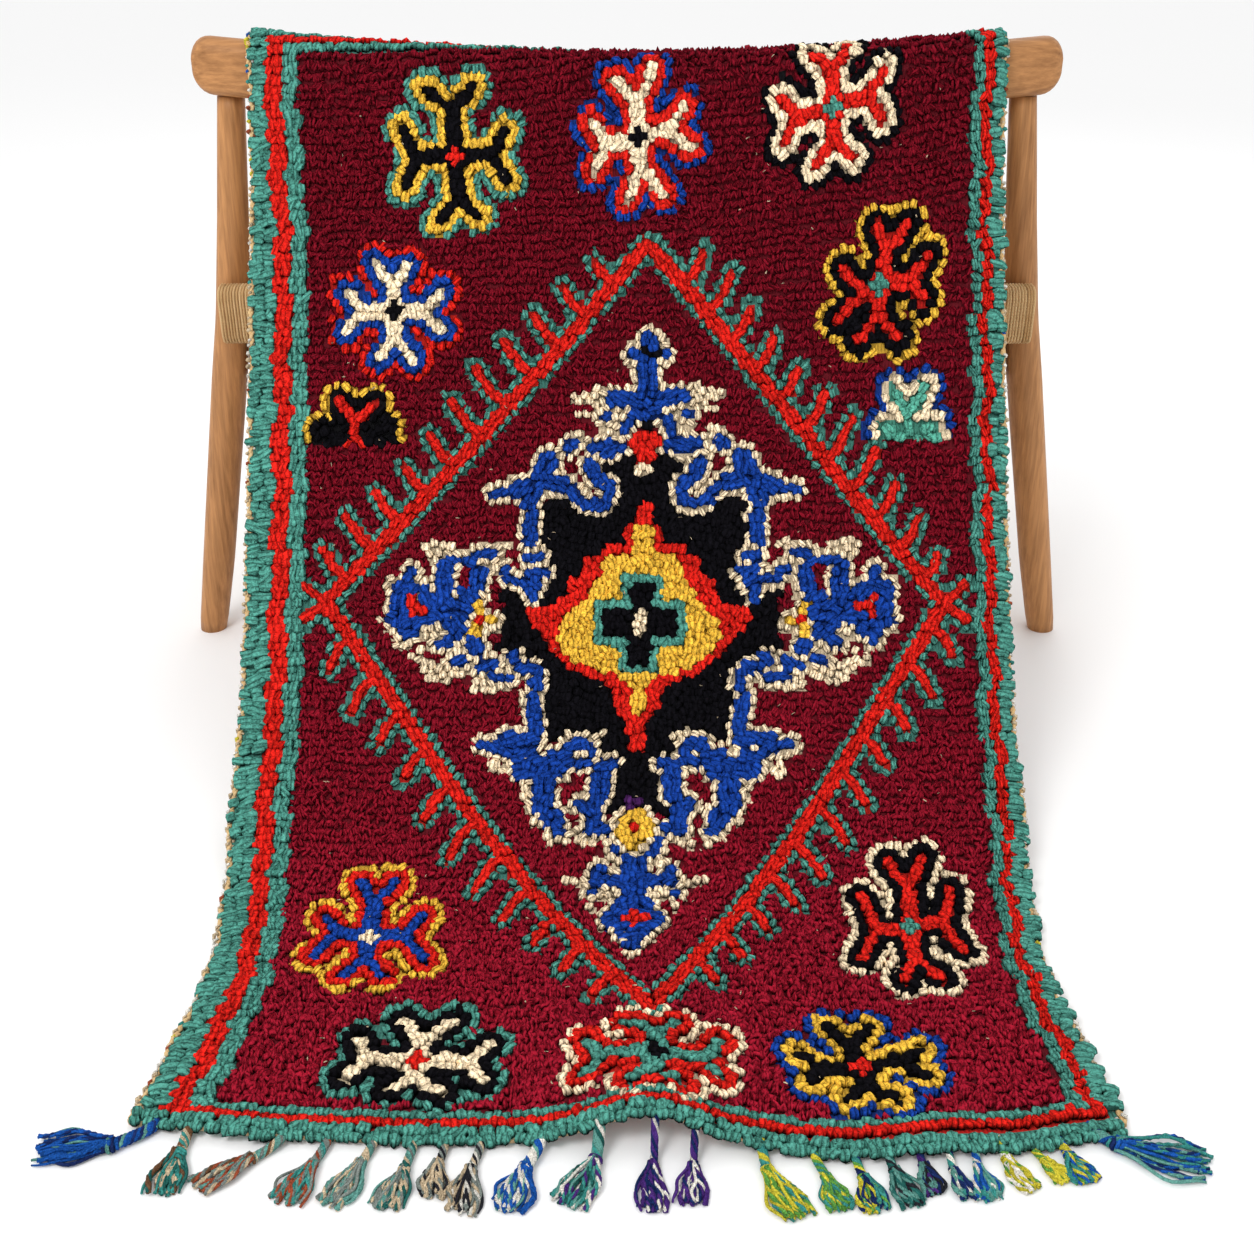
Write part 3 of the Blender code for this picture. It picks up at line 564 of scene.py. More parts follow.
# The medallion, charted in millimetres: distances from its middle line, then rows. Each
# half is the mirror of the other. A line is half its width and then the points it runs
# through. Blue and yellow lines are edged with one cream knot.
MIDDLE_LINE = ((0.300, 0.025), (0.370, 0.023), (0.450, 0.020), (0.550, 0.018), (0.650, 0.014),
               (0.750, 0.011), (1.000, 0.006))
BLUE_LINES = (
    # top ornament with its crossbar
    (9, (0, 300), (0, 322)), (6, (0, 315), (18, 316)), (10, (0, 322), (0, 362)),
    (8, (0, 367), (40, 364)), (5, (44, 384), (49, 384)), (6, (0, 382), (14, 381)),
    (6, (22, 390), (28, 400)),
    # arms and curls above the wings
    (6, (26, 418), (60, 418)), (6, (38, 425), (46, 425)), (6, (82, 413), (90, 420)),
    (7, (64, 437), (56, 452), (40, 465)), (6, (42, 476), (46, 485), (65, 485), (84, 466)),
    (11, (110, 434), (115, 451)), (9, (93, 461), (116, 455), (144, 466)), (5, (144, 468), (172, 470)),
    (9, (124, 468), (130, 481)), (7, (126, 496), (129, 527)),
    # wing
    (5, (192, 551), (224, 548)), (9, (222, 555), (221, 585)), (5, (168, 540), (187, 542)),
    (8, (183, 561), (185, 578)), (8, (199, 585), (191, 591)), (7, (257, 579), (276, 579)),
    (6, (260, 561), (262, 570)), (9, (271, 591), (272, 618)), (8, (263, 618), (278, 615)),
    (8, (248, 583), (239, 594), (210, 603)), (11, (199, 608), (227, 606)), (8, (216, 619), (201, 631)),
    (6, (213, 642), (223, 644)), (7, (231, 615), (249, 615)), (9, (252, 628), (262, 629)),
    (5, (262, 640), (264, 640)), (8, (185, 644), (182, 651)), (5, (195, 662), (208, 665)),
    (6, (163, 666), (177, 672)), (5, (144, 684), (165, 682)), (6, (139, 660), (142, 660)),
    (6, (119, 672), (133, 672)), (6, (113, 678), (112, 694)), (6, (119, 706), (116, 711)),
    (5, (115, 545), (128, 547)), (6, (110, 562), (126, 561)), (6, (118, 575), (149, 570)),
    (5, (127, 581), (123, 591)), (5, (155, 560), (158, 560)),
    # lower stalk, leg and curls
    (7, (116, 711), (112, 746)), (7, (112, 755), (147, 756)), (6, (140, 769), (170, 761)),
    (8, (117, 775), (132, 775)), (12, (88, 790), (124, 790)), (8, (76, 777), (90, 777)),
    (7, (54, 761), (73, 761)), (6, (53, 763), (51, 772)), (6, (55, 781), (65, 784)),
    (6, (26, 784), (40, 786)), (9, (38, 798), (40, 821)), (7, (48, 840), (59, 832)),
    (8, (45, 834), (46, 853)), (6, (23, 862), (49, 863)), (7, (24, 873), (19, 890)),
    (11, (100, 806), (101, 832)), (11, (91, 847), (89, 851)), (7, (82, 864), (84, 864)),
    # foot: its arms and the arrow
    (13, (0, 902), (0, 939)), (7, (12, 929), (42, 927)), (7, (37, 913), (37, 925)),
    (5, (44, 944), (46, 944)), (12, (0, 982), (20, 982)), (11, (0, 954), (11, 964)),
    (11, (0, 1001), (7, 1001)), (6, (0, 1012), (0, 1026)))
CREAM_LINES = (
    (4, (52, 352), (58, 352)), (5, (49, 363), (70, 362)), (5, (36, 375), (60, 373)),
    (5, (25, 380), (35, 382)), (4, (75, 364), (84, 361)), (4, (68, 380), (79, 379)),
    (5, (37, 407), (51, 405)), (5, (73, 405), (76, 404)), (8, (214, 539), (233, 531)),
    (7, (201, 545), (214, 539)), (5, (230, 567), (237, 539)), (4, (241, 533), (244, 533)),
    (5, (153, 533), (170, 532)), (5, (213, 558), (207, 566), (213, 579), (208, 591)),
    (5, (161, 560), (173, 558)), (6, (131, 561), (141, 561)), (6, (177, 591), (183, 585)),
    (5, (234, 624), (244, 618)), (5, (228, 634), (242, 632)), (5, (193, 640), (206, 640)),
    (5, (236, 666), (254, 662)), (7, (205, 677), (236, 672)), (6, (213, 685), (228, 684)),
    (5, (183, 679), (200, 679)), (4, (241, 653), (243, 653)), (6, (149, 694), (179, 693)),
    (5, (124, 746), (141, 746)), (5, (157, 784), (156, 794), (133, 794)), (6, (116, 832), (119, 811)),
    (5, (107, 855), (108, 845)), (5, (94, 868), (90, 876), (77, 877)), (6, (41, 750), (66, 748)),
    (5, (63, 777), (73, 773)), (6, (34, 873), (58, 877)), (5, (17, 853), (36, 853)),
    (5, (49, 935), (72, 929)), (4, (14, 918), (27, 922)), (5, (17, 944), (38, 946)),
    (4, (44, 963), (46, 963)), (9, (0, 613), (0, 630)), (7, (0, 447), (5, 447)))
YELLOW_LINES = ((6, (185, 602), (180, 617), (184, 632)), (4, (162, 619), (172, 617)))
MAROON_LINES = ((7, (199, 557), (200, 576)),)
RED_LINES = ((5, (261, 588), (260, 612)), (5, (242, 603), (264, 603)), (4, (179, 617), (181, 617)),
             (4, (0, 972), (0, 990)), (4, (0, 981), (9, 981)), (5, (0, 860), (0, 866)))
BLACK_LINES = ((4, (0, 307), (0, 320)), (4, (0, 314), (9, 314)), (4, (0, 396), (9, 396)),
               (2, (0, 419), (1, 419)))
# row, half width of the shapes on the middle line
HEART = ((426, 46), (456, 46), (462, 26), (474, 26), (478, 60), (482, 118), (530, 118),
         (558, 114), (576, 126), (582, 160), (605, 154), (635, 152), (650, 160), (672, 124),
         (694, 110), (738, 106), (754, 104), (758, 40), (775, 40), (780, 28), (822, 27), (828, 40),
         (844, 40))
FLAME = ((483, 12), (505, 10), (511, 21), (530, 21), (534, 48), (544, 52), (547, 66), (566, 66),
         (570, 84), (590, 84), (598, 92), (608, 128), (624, 118), (642, 106), (658, 94), (673, 76),
         (686, 50), (694, 30), (722, 23), (732, 12), (765, 10), (772, 9))
YELLOW_FIELD = ((508, 12), (541, 12), (546, 44), (574, 50), (590, 62), (605, 76), (620, 86),
                (640, 94), (658, 80), (671, 64), (680, 30), (694, 9), (726, 9))
CROSS = (((576, 13), (671, 13)), ((605, 41), (640, 41)))
CROSS_EDGE = (((567, 23), (680, 23)), ((596, 51), (649, 51)))
RED_TOP = ((405, 18), (421, 18), (423, 11), (438, 11))
YELLOW_FOOT = ((837, 3), (854, 19), (868, 19), (891, 2))
CREAM_FOOT = ((830, 10), (852, 28), (870, 28), (900, 8))
PURPLE_SPOT = ((825, 10), (838, 10))
MEDALLION_BOX = (-0.29, 0.33, 0.28, 1.05)
# knots inside a blue line, and the cream edge round it
BLUE_KNOTS = (-0.0036, 0.0078, 0.0062, 0.0062)
EDGE_KNOTS = (0.0042, 0.0092, 0.0035, 0.0050)
EDGE_WIDE = 0.0066
FILL_SPACING = 0.0078
FILL_HALF = 0.0061
FILL_STEP = 0.0025
CREAM_SHARE = 0.78           # a cream knot's size beside the others


def mirrored(lines):
    """The strokes of a chart on both sides of the middle line."""
    strokes = []
    for half, *points in lines:
        for side in (-1.0, 1.0):
            ends = [(read_table(MIDDLE_LINE, s / 1000.0) + side * h / 1000.0, s / 1000.0)
                    for h, s in points]
            strokes.extend((*a, *b, half / 1000.0) for a, b in zip(ends, ends[1:]))
    return np.array(strokes)


def under_profile(h, s, profile):
    """Whether places, in the chart's millimetres, lie inside a shape on the middle line."""
    rows = [row[0] for row in profile]
    halves = [row[1] for row in profile]
    return (s > rows[0]) & (s < rows[-1]) & (h < np.interp(s, rows, halves))


def paint_medallion(yarn, x, s):
    """The medallion's yarns, from the lowest layer of its chart to the uppermost."""
    box = MEDALLION_BOX
    near = np.flatnonzero((x > box[0]) & (x < box[1]) & (s > box[2]) & (s < box[3]))
    x, s = x[near], s[near]
    found = np.full(len(x), -1)
    h = np.abs(x - read_table(MIDDLE_LINE, s)) * 1000.0
    rows = s * 1000.0
    blue = nearest_stroke(x, s, mirrored(BLUE_LINES))[0]
    eyes = nearest_stroke(x, s, mirrored(YELLOW_LINES))[0]
    edge = np.minimum(blue, eyes) < EDGE_WIDE
    found[under_profile(h, rows, HEART)] = BLACK
    found[edge & ~under_profile(h, rows, RED_TOP)] = CREAM
    found[nearest_stroke(x, s, mirrored(CREAM_LINES))[0] < 0.0] = CREAM
    found[under_profile(h, rows, RED_TOP)] = RED
    for lines, colour in ((BLUE_LINES, BLUE), (YELLOW_LINES, YELLOW), (MAROON_LINES, MAROON)):
        found[nearest_stroke(x, s, mirrored(lines))[0] < 0.0] = colour
    for profile, colour in ((FLAME, RED), (YELLOW_FIELD, YELLOW), (CROSS_EDGE[0], TEAL),
                            (CROSS_EDGE[1], TEAL), (CROSS[0], BLACK), (CROSS[1], BLACK),
                            (CREAM_FOOT, CREAM), (YELLOW_FOOT, YELLOW), (PURPLE_SPOT, PURPLE)):
        found[under_profile(h, rows, profile)] = colour
    found[nearest_stroke(x, s, mirrored(CREAM_LINES[-2:]))[0] < 0.0] = CREAM
    for lines, colour in ((RED_LINES, RED), (BLACK_LINES, BLACK)):
        found[nearest_stroke(x, s, mirrored(lines))[0] < 0.0] = colour
    yarn[near[found >= 0]] = found[found >= 0]


def medallion_yarn(places):
    """The yarn of the medallion at each place; maroon outside it."""
    yarn = np.full(len(places), MAROON)
    paint_medallion(yarn, places[:, 0], places[:, 1])
    return yarn


def sew_medallion(knots):
    """Knots along the chart's lines first, and then the rest of it filled row by row."""
    blue = mirrored(BLUE_LINES)
    edged = np.concatenate([blue, mirrored(YELLOW_LINES)])
    knots.sew(blue, BLUE_KNOTS, BLUE, follow=0.7, inside=lambda p: medallion_yarn(p) == BLUE)
    knots.sew(edged, EDGE_KNOTS, CREAM, follow=0.3, dropped=0.10,
              inside=lambda p: medallion_yarn(p) == CREAM)
    across = np.arange(MEDALLION_BOX[0], MEDALLION_BOX[1], FILL_STEP)
    row = np.arange(MEDALLION_BOX[2], MEDALLION_BOX[3], FILL_STEP)
    places = np.stack(np.meshgrid(across, row), axis=-1)
    yarn = medallion_yarn(places.reshape(-1, 2)).reshape(places.shape[:2])
    clean = np.ones(yarn.shape, bool)
    for axis in (0, 1):
        for step in (-1, 1):
            clean &= np.roll(yarn, step, axis) == yarn
    taken = np.zeros((len(knots.rows) + yarn.size, 2))
    count = len(knots.rows)
    taken[:count] = [row[:2] for row in knots.rows]
    taken[count:] = np.inf
    for chosen, spacing in ((clean, FILL_SPACING), (~clean, FILL_SPACING * 0.93)):
        chosen = chosen & (yarn != MAROON)
        for place, colour in zip(places[chosen] + rng.uniform(-0.0010, 0.0010, (chosen.sum(), 2)),
                                 yarn[chosen]):
            if np.hypot(*(taken[:count] - place).T).min() > spacing:
                taken[count] = place
                count += 1
                half = FILL_HALF * (CREAM_SHARE if colour == CREAM else 1.0)
                knots.add([place], colour, [0.35 * rng.standard_normal()], half, half)


def yarn_at(x, s):
    """The yarn of each knot, and how many bands of the border lie outside it."""
    yarn = np.full(len(x), MAROON)
    paint_motifs(yarn, x, s)
    paint_medallion(yarn, x, s)
    level = paint_border(yarn, x, s)
    return yarn, level


# ---- meshes --------------------------------------------------------------
ATTRIBUTE_KEYS = {"FLOAT": "value", "FLOAT_COLOR": "color", "FLOAT_VECTOR": "vector"}


def add_piece(name, points, faces, materials, attributes=(), face_materials=None):
    """A named mesh that rides with the part, shaded smooth, with its attributes."""
    mesh = bpy.data.meshes.new(name)
    mesh.from_pydata(points, [], faces)
    for attribute_name, kind, domain, values in attributes:
        attribute = mesh.attributes.new(attribute_name, kind, domain)
        attribute.data.foreach_set(ATTRIBUTE_KEYS[kind], np.asarray(values, dtype=np.float32).ravel())
    for material in materials:
        mesh.materials.append(material)
    if face_materials is not None:
        mesh.polygons.foreach_set("material_index", np.asarray(face_materials, dtype=np.int32))
    mesh.shade_smooth()
    mesh.update()
    piece = bpy.data.objects.new(name, mesh)
    bpy.context.scene.collection.objects.link(piece)
    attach(piece, "root")
    return piece


def ring_faces(rings, sides):
    """Faces of a closed tube through a number of rings, with both its ends."""
    faces = []
    for k in range(rings - 1):
        for i in range(sides):
            j = (i + 1) % sides
            faces.append((k * sides + i, k * sides + j, (k + 1) * sides + j, (k + 1) * sides + i))
    faces.append(tuple(range(sides))[::-1])
    faces.append(tuple(range((rings - 1) * sides, rings * sides)))
    return faces


def grid_rim(columns, rows):
    """Indices round the edge of a grid of points, from its first corner."""
    rim = list(range(columns)) + [columns * (k + 1) - 1 for k in range(1, rows)]
    rim += list(range(columns * rows - 2, columns * (rows - 1) - 1, -1))
    return rim + [columns * k for k in range(rows - 2, 0, -1)]


def bean(sides, stations, square=0.80):
    """A closed unit bean along +Y, outwards +Z, with a softly squared section."""
    points = [(0.0, -1.0, 0.0)]
    for place, radius in stations:
        for i in range(sides):
            turn = 2.0 * math.pi * (i + 0.5 * (sides % 2)) / sides
            points.append((radius * math.copysign(abs(math.cos(turn)) ** square, math.cos(turn)), place,
                           radius * math.copysign(abs(math.sin(turn)) ** square, math.sin(turn))))
    points.append((0.0, 1.0, 0.0))
    quads = []
    ends = []
    for ring in range(len(stations) - 1):
        for i in range(sides):
            low = 1 + ring * sides
            j = (i + 1) % sides
            quads.append((low + i, low + sides + i, low + sides + j, low + j))
    last = 1 + (len(stations) - 1) * sides
    for i in range(sides):
        j = (i + 1) % sides
        ends.append((0, 1 + i, 1 + j))
        ends.append((last + sides, last + j, last + i))
    return np.array(points), np.array(quads), np.array(ends)


def tuft_points(shape, knots, lumps):
    """Points of a bean at each knot: turned, leaned, bent and made a little lumpy."""
    points = shape[0]
    count = len(knots["place"])
    cos_yaw, sin_yaw = np.cos(knots["yaw"])[:, None], np.sin(knots["yaw"])[:, None]
    side = knots["side"] * cos_yaw + knots["down"] * sin_yaw
    down = knots["down"] * cos_yaw - knots["side"] * sin_yaw
    cos_lean, sin_lean = np.cos(knots["lean"])[:, None], np.sin(knots["lean"])[:, None]
    out = knots["out"] * cos_lean - down * sin_lean
    down = down * cos_lean + knots["out"] * sin_lean
    radial = 1.0 + lumps * rng.standard_normal((count, len(points)))
    a = points[None, :, 0] * radial * knots["wide"][:, None]
    a = a + knots["bend"][:, None] * (1.0 - points[None, :, 1] ** 2)
    b = points[None, :, 1] * knots["long"][:, None] * (1.0 + 0.4 * (radial - 1.0))
    c = points[None, :, 2] * radial * knots["tall"][:, None]
    place = knots["place"] + knots["out"] * knots["lift"][:, None]
    placed = (place[:, None, :] + a[:, :, None] * side[:, None, :] + b[:, :, None] * down[:, None, :]
              + c[:, :, None] * out[:, None, :])
    placed[:, :, 2] = np.maximum(placed[:, :, 2], FLOOR_CLEAR)
    return placed


def add_tufts(name, shape, knots, material, lumps):
    """One piece of many tufts of the same yarn."""
    points = tuft_points(shape, knots, lumps)
    count, each = points.shape[:2]
    offsets = (np.arange(count) * each)[:, None, None]
    quads = (shape[1][None] + offsets).reshape(-1, 4)
    ends = (shape[2][None] + offsets).reshape(-1, 3)
    tone = np.repeat(rng.random(count) + knots.get("tone", 0.0), each)
    # tip: height on the bean; the yarn material paints shade towards its low end
    tip = np.tile(0.5 + 0.5 * np.clip(shape[0][:, 2], -1.0, 1.0), count)
    strand = np.tile(shape[0][:, 0], count)
    return add_piece(name, points.reshape(-1, 3), quads.tolist() + ends.tolist(), [material],
                     (("tone", "FLOAT", "POINT", tone), ("tip", "FLOAT", "POINT", tip),
                                   ("strand", "FLOAT", "POINT", strand)))


def row_places():
    """The rows of knots, from the back end to the front edge."""
    rows = [BACK_END]
    while rows[-1] < RUG_LENGTH:
        rows.append(rows[-1] + float(read_table(ROW_PITCH, rows[-1])))
    rows = np.array(rows)
    rows[1:-1] += 0.0008 * np.sin(rows[1:-1] * 733.0) + 0.0006 * np.sin(rows[1:-1] * 291.0)
    return BACK_END + (rows - BACK_END) * (RUG_LENGTH - BACK_END) / (rows[-1] - BACK_END)


# ---- materials -----------------------------------------------------------
def new_group(name, inputs, outputs):
    """An empty shader group with its sockets: (name, kind, value) and (name, kind)."""
    group = bpy.data.node_groups.new(name, "ShaderNodeTree")
    for socket_name, kind, value in inputs:
        socket = group.interface.new_socket(name=socket_name, in_out="INPUT", socket_type=kind)
        if value is not None:
            socket.default_value = value
    for socket_name, kind in outputs:
        group.interface.new_socket(name=socket_name, in_out="OUTPUT", socket_type=kind)
    return group, group.nodes.new("NodeGroupInput"), group.nodes.new("NodeGroupOutput")


def math_node(tree, operation, first, second=None, third=None, clamp=False):
    """One step of arithmetic on sockets and numbers."""
    node = tree.nodes.new("ShaderNodeMath")
    node.operation = operation
    node.use_clamp = clamp
    for index, value in enumerate((first, second, third)):
        if value is None:
            continue
        if isinstance(value, (int, float)):
            node.inputs[index].default_value = value
        else:
            tree.links.new(value, node.inputs[index])
    return node.outputs[0]


def noise_node(tree, vector, scale, detail=2.0, roughness=0.5, distortion=0.0):
    node = tree.nodes.new("ShaderNodeTexNoise")
    tree.links.new(vector, node.inputs["Vector"])
    for socket, value in (("Scale", scale), ("Detail", detail), ("Roughness", roughness),
                          ("Distortion", distortion)):
        if isinstance(value, (int, float)):
            node.inputs[socket].default_value = value
        else:
            tree.links.new(value, node.inputs[socket])
    return node.outputs["Fac"]


def mix_colours(tree, share, first, second, kind="MIX"):
    node = tree.nodes.new("ShaderNodeMix")
    node.data_type = "RGBA"
    node.blend_type = kind
    node.clamp_factor = True
    for socket, value in ((node.inputs[0], share), (node.inputs[6], first), (node.inputs[7], second)):
        if isinstance(value, (int, float, tuple)):
            socket.default_value = value
        else:
            tree.links.new(value, socket)
    return node.outputs[2]


def make_fibre_group():
    """Spun wool: fine crimped fibres, and the yarn's own lumps."""
    group, start, end = new_group(
        "yarn fibre",
        (("Vector", "NodeSocketVector", None), ("Fibre size", "NodeSocketFloat", 0.0012),
         ("Crimp", "NodeSocketFloat", 1.5)),
        (("Height", "NodeSocketFloat"), ("Shade", "NodeSocketFloat")))
    scale = math_node(group, "DIVIDE", 1.0, start.outputs["Fibre size"])
    fibres = noise_node(group, start.outputs["Vector"], scale, roughness=0.60,
                        distortion=start.outputs["Crimp"])
    coarse_scale = math_node(group, "MULTIPLY", scale, 0.30)
    lumps = noise_node(group, start.outputs["Vector"], coarse_scale, detail=1.0, distortion=0.6)
    height = math_node(group, "ADD", math_node(group, "MULTIPLY", fibres, 0.6),
                       math_node(group, "MULTIPLY", lumps, 0.5))
    group.links.new(height, end.inputs["Height"])
    shade = math_node(group, "SUBTRACT", math_node(group, "MULTIPLY", fibres, 3.6), 1.3, clamp=True)
    group.links.new(shade, end.inputs["Shade"])
    return group


def make_dye_and_shade_group():
    """Hand-dyed wool: each tuft takes the dye a little differently; painted shade darkens the colour
    towards each tuft's root and in its creases.
    """
    group, start, end = new_group(
        "dye drift and painted shade",
        (("Colour", "NodeSocketColor", None), ("Tuft", "NodeSocketFloat", 0.5),
         ("Fibre", "NodeSocketFloat", 0.5), ("Vector", "NodeSocketVector", None),
         ("Depth", "NodeSocketFloat", 0.35), ("Tip", "NodeSocketFloat", 1.0)),
        (("Colour", "NodeSocketColor"),))
    clouds = noise_node(group, start.outputs["Vector"], 9.0, detail=3.0, roughness=0.6,
                        distortion=0.2)
    shade = math_node(group, "ADD", math_node(group, "MULTIPLY", start.outputs["Tuft"], 0.26),
                      math_node(group, "MULTIPLY", start.outputs["Fibre"], 0.62))
    shade = math_node(group, "ADD", shade, math_node(group, "MULTIPLY", clouds, 0.26))
    low = math_node(group, "SUBTRACT", 1.0, start.outputs["Depth"])
    wide = math_node(group, "MULTIPLY", start.outputs["Depth"], 2.0)
    factor = math_node(group, "MULTIPLY_ADD", shade, wide, low)
    # painted shade: the colour darkens towards each tuft's root, where the knots shade each other
    root = math_node(group, "MULTIPLY_ADD", start.outputs["Tip"], 1.7, -0.35, clamp=True)
    factor = math_node(group, "MULTIPLY", factor, root)
    scaled = group.nodes.new("ShaderNodeVectorMath")
    scaled.operation = "SCALE"
    group.links.new(start.outputs["Colour"], scaled.inputs[0])
    group.links.new(factor, scaled.inputs["Scale"])
    group.links.new(scaled.outputs[0], end.inputs["Colour"])
    return group


def make_grain_group():
    """Wood grain: long drifting rings, fine pores and darker streaks."""
    group, start, end = new_group(
        "wood grain",
        (("Vector", "NodeSocketVector", None), ("Ring size", "NodeSocketFloat", 0.010)),
        (("Rings", "NodeSocketFloat"), ("Pores", "NodeSocketFloat"), ("Streaks", "NodeSocketFloat")))
    scale = math_node(group, "DIVIDE", 1.0, start.outputs["Ring size"])
    rings = noise_node(group, start.outputs["Vector"], scale, distortion=1.2)
    bands = math_node(group, "SINE", math_node(group, "MULTIPLY", rings, 34.0))
    bands = math_node(group, "MULTIPLY_ADD", bands, 0.5, 0.5)
    pores = noise_node(group, start.outputs["Vector"], math_node(group, "MULTIPLY", scale, 9.0),
                       detail=3.0, roughness=0.7)
    streaks = noise_node(group, start.outputs["Vector"], math_node(group, "MULTIPLY", scale, 0.45),
                         detail=3.0, roughness=0.6, distortion=0.4)
    group.links.new(bands, end.inputs["Rings"])
    group.links.new(pores, end.inputs["Pores"])
    group.links.new(streaks, end.inputs["Streaks"])
    return group


def make_cord_group():
    """Twisted paper cord: slanting turns along the cord and a dusty variation."""
    group, start, end = new_group(
        "cord twist",
        (("Vector", "NodeSocketVector", None), ("Turn size", "NodeSocketFloat", 0.003)),
        (("Height", "NodeSocketFloat"), ("Shade", "NodeSocketFloat")))
    wave = group.nodes.new("ShaderNodeTexWave")
    wave.bands_direction = "DIAGONAL"
    group.links.new(start.outputs["Vector"], wave.inputs["Vector"])
    group.links.new(math_node(group, "DIVIDE", 0.5, start.outputs["Turn size"]), wave.inputs["Scale"])
    wave.inputs["Distortion"].default_value = 2.0
    group.links.new(wave.outputs["Fac"], end.inputs["Height"])
    dust = noise_node(group, start.outputs["Vector"], 60.0, detail=3.0, roughness=0.6,
                      distortion=0.3)
    group.links.new(dust, end.inputs["Shade"])
    return group


FIBRE = make_fibre_group()
DYE_AND_SHADE = make_dye_and_shade_group()
GRAIN = make_grain_group()
TWIST = make_cord_group()


def new_material(name, roughness):
    material = bpy.data.materials.new(name)
    material.use_nodes = True
    shader = material.node_tree.nodes["Principled BSDF"]
    shader.inputs["Roughness"].default_value = roughness
    shader.inputs["Specular IOR Level"].default_value = 0.25
    return material, material.node_tree, shader


def place_group(tree, group, links=(), values=()):
    node = tree.nodes.new("ShaderNodeGroup")
    node.node_tree = group
    for socket, value in values:
        node.inputs[socket].default_value = value
    for socket, source in links:
        tree.links.new(source, node.inputs[socket])
    return node


def add_bump(tree, shader, height, strength, distance):
    bump = tree.nodes.new("ShaderNodeBump")
    bump.inputs["Strength"].default_value = strength
    bump.inputs["Distance"].default_value = distance
    tree.links.new(height, bump.inputs["Height"])
    tree.links.new(bump.outputs["Normal"], shader.inputs["Normal"])


def object_place(tree):
    return tree.nodes.new("ShaderNodeTexCoord").outputs["Object"]


def read_attribute(tree, name, output="Fac"):
    node = tree.nodes.new("ShaderNodeAttribute")
    node.attribute_name = name
    return node.outputs[output]


def add_strands(tree, height, tip):
    """Wavering creases between the two or three strands of each knot: a bump, and painted shade that
    darkens the colour in them.
    """
    turn = math_node(tree, "MULTIPLY_ADD", read_attribute(tree, "tone"), 6.3,
                     math_node(tree, "MULTIPLY", read_attribute(tree, "strand"), 3.6))
    turn = math_node(tree, "MULTIPLY_ADD", height, 3.0, turn)
    ridges = math_node(tree, "ABSOLUTE", math_node(tree, "SINE", turn))
    # painted shade in the creases between the strands
    crease_shade = math_node(tree, "MULTIPLY_ADD", ridges, 1.0, 0.42, clamp=True)
    return (math_node(tree, "MULTIPLY_ADD", ridges, 0.50, height),
            math_node(tree, "MULTIPLY", tip, crease_shade))


PILE_FIBRE = 0.0044
FRINGE_FIBRE = 0.0018


def yarn_material(name, colour, depth=0.70, fibre=PILE_FIBRE, tufted=True):
    """Dyed wool yarn; in a tuft its colour is painted darker towards the root and in its creases, as
    painted shade.
    """
    material, tree, shader = new_material(name, 0.95)
    shader.inputs["Specular IOR Level"].default_value = 0.05
    vector = object_place(tree)
    fibres = place_group(tree, FIBRE, (("Vector", vector),), (("Fibre size", fibre),))
    height = fibres.outputs["Height"]
    sources = [("Tuft", read_attribute(tree, "tone")), ("Fibre", fibres.outputs["Shade"]),
               ("Vector", vector)]
    if tufted:
        height, tip = add_strands(tree, height, read_attribute(tree, "tip"))
        sources.append(("Tip", tip))
    dyed = place_group(tree, DYE_AND_SHADE, sources, (("Colour", (*colour, 1.0)), ("Depth", depth)))
    tree.links.new(dyed.outputs["Colour"], shader.inputs["Base Color"])
    add_bump(tree, shader, height, strength=1.0, distance=0.0034)
    return material


YARNS = [yarn_material(f"wool_{name}", colour)
         for name, colour in zip(YARN_NAMES, YARN_COLOURS)]


WEFT_COLOUR = (0.42, 0.31, 0.19, 1.0)


def weave_material():
    """The rug's ground: every knot shows flat on the back between the weft lines."""
    material, tree, shader = new_material("wool_ground_weave", 0.95)
    parts = tree.nodes.new("ShaderNodeSeparateXYZ")
    tree.links.new(read_attribute(tree, "knot_place", "Vector"), parts.inputs[0])
    ridges = []
    for axis, share in (("X", 2.0), ("Y", 1.0)):
        wave = math_node(tree, "SINE", math_node(tree, "MULTIPLY", parts.outputs[axis],
                                                 math.pi * share))
        ridges.append(math_node(tree, "ABSOLUTE", wave))
    height = math_node(tree, "MULTIPLY", ridges[0], ridges[1])
    vector = object_place(tree)
    fibres = place_group(tree, FIBRE, (("Vector", vector),))
    weft = math_node(tree, "MULTIPLY", math_node(tree, "LESS_THAN", ridges[1], 0.28),
                     read_attribute(tree, "knot_back"))
    base = mix_colours(tree, weft, read_attribute(tree, "knot_colour", "Color"), WEFT_COLOUR)
    dyed = place_group(tree, DYE_AND_SHADE, (("Colour", base), ("Tuft", ridges[0]),
                                   ("Fibre", fibres.outputs["Shade"]), ("Vector", vector)),
                       (("Depth", 0.4),))
    tree.links.new(dyed.outputs["Colour"], shader.inputs["Base Color"])
    relief = math_node(tree, "MULTIPLY_ADD", fibres.outputs["Height"], 0.25, height)
    add_bump(tree, shader, relief, strength=0.9, distance=0.0015)
    return material


WOOD_LIGHT = (0.530, 0.250, 0.092)
WOOD_DARK = (0.170, 0.066, 0.020)
RING_SIZE = 0.036


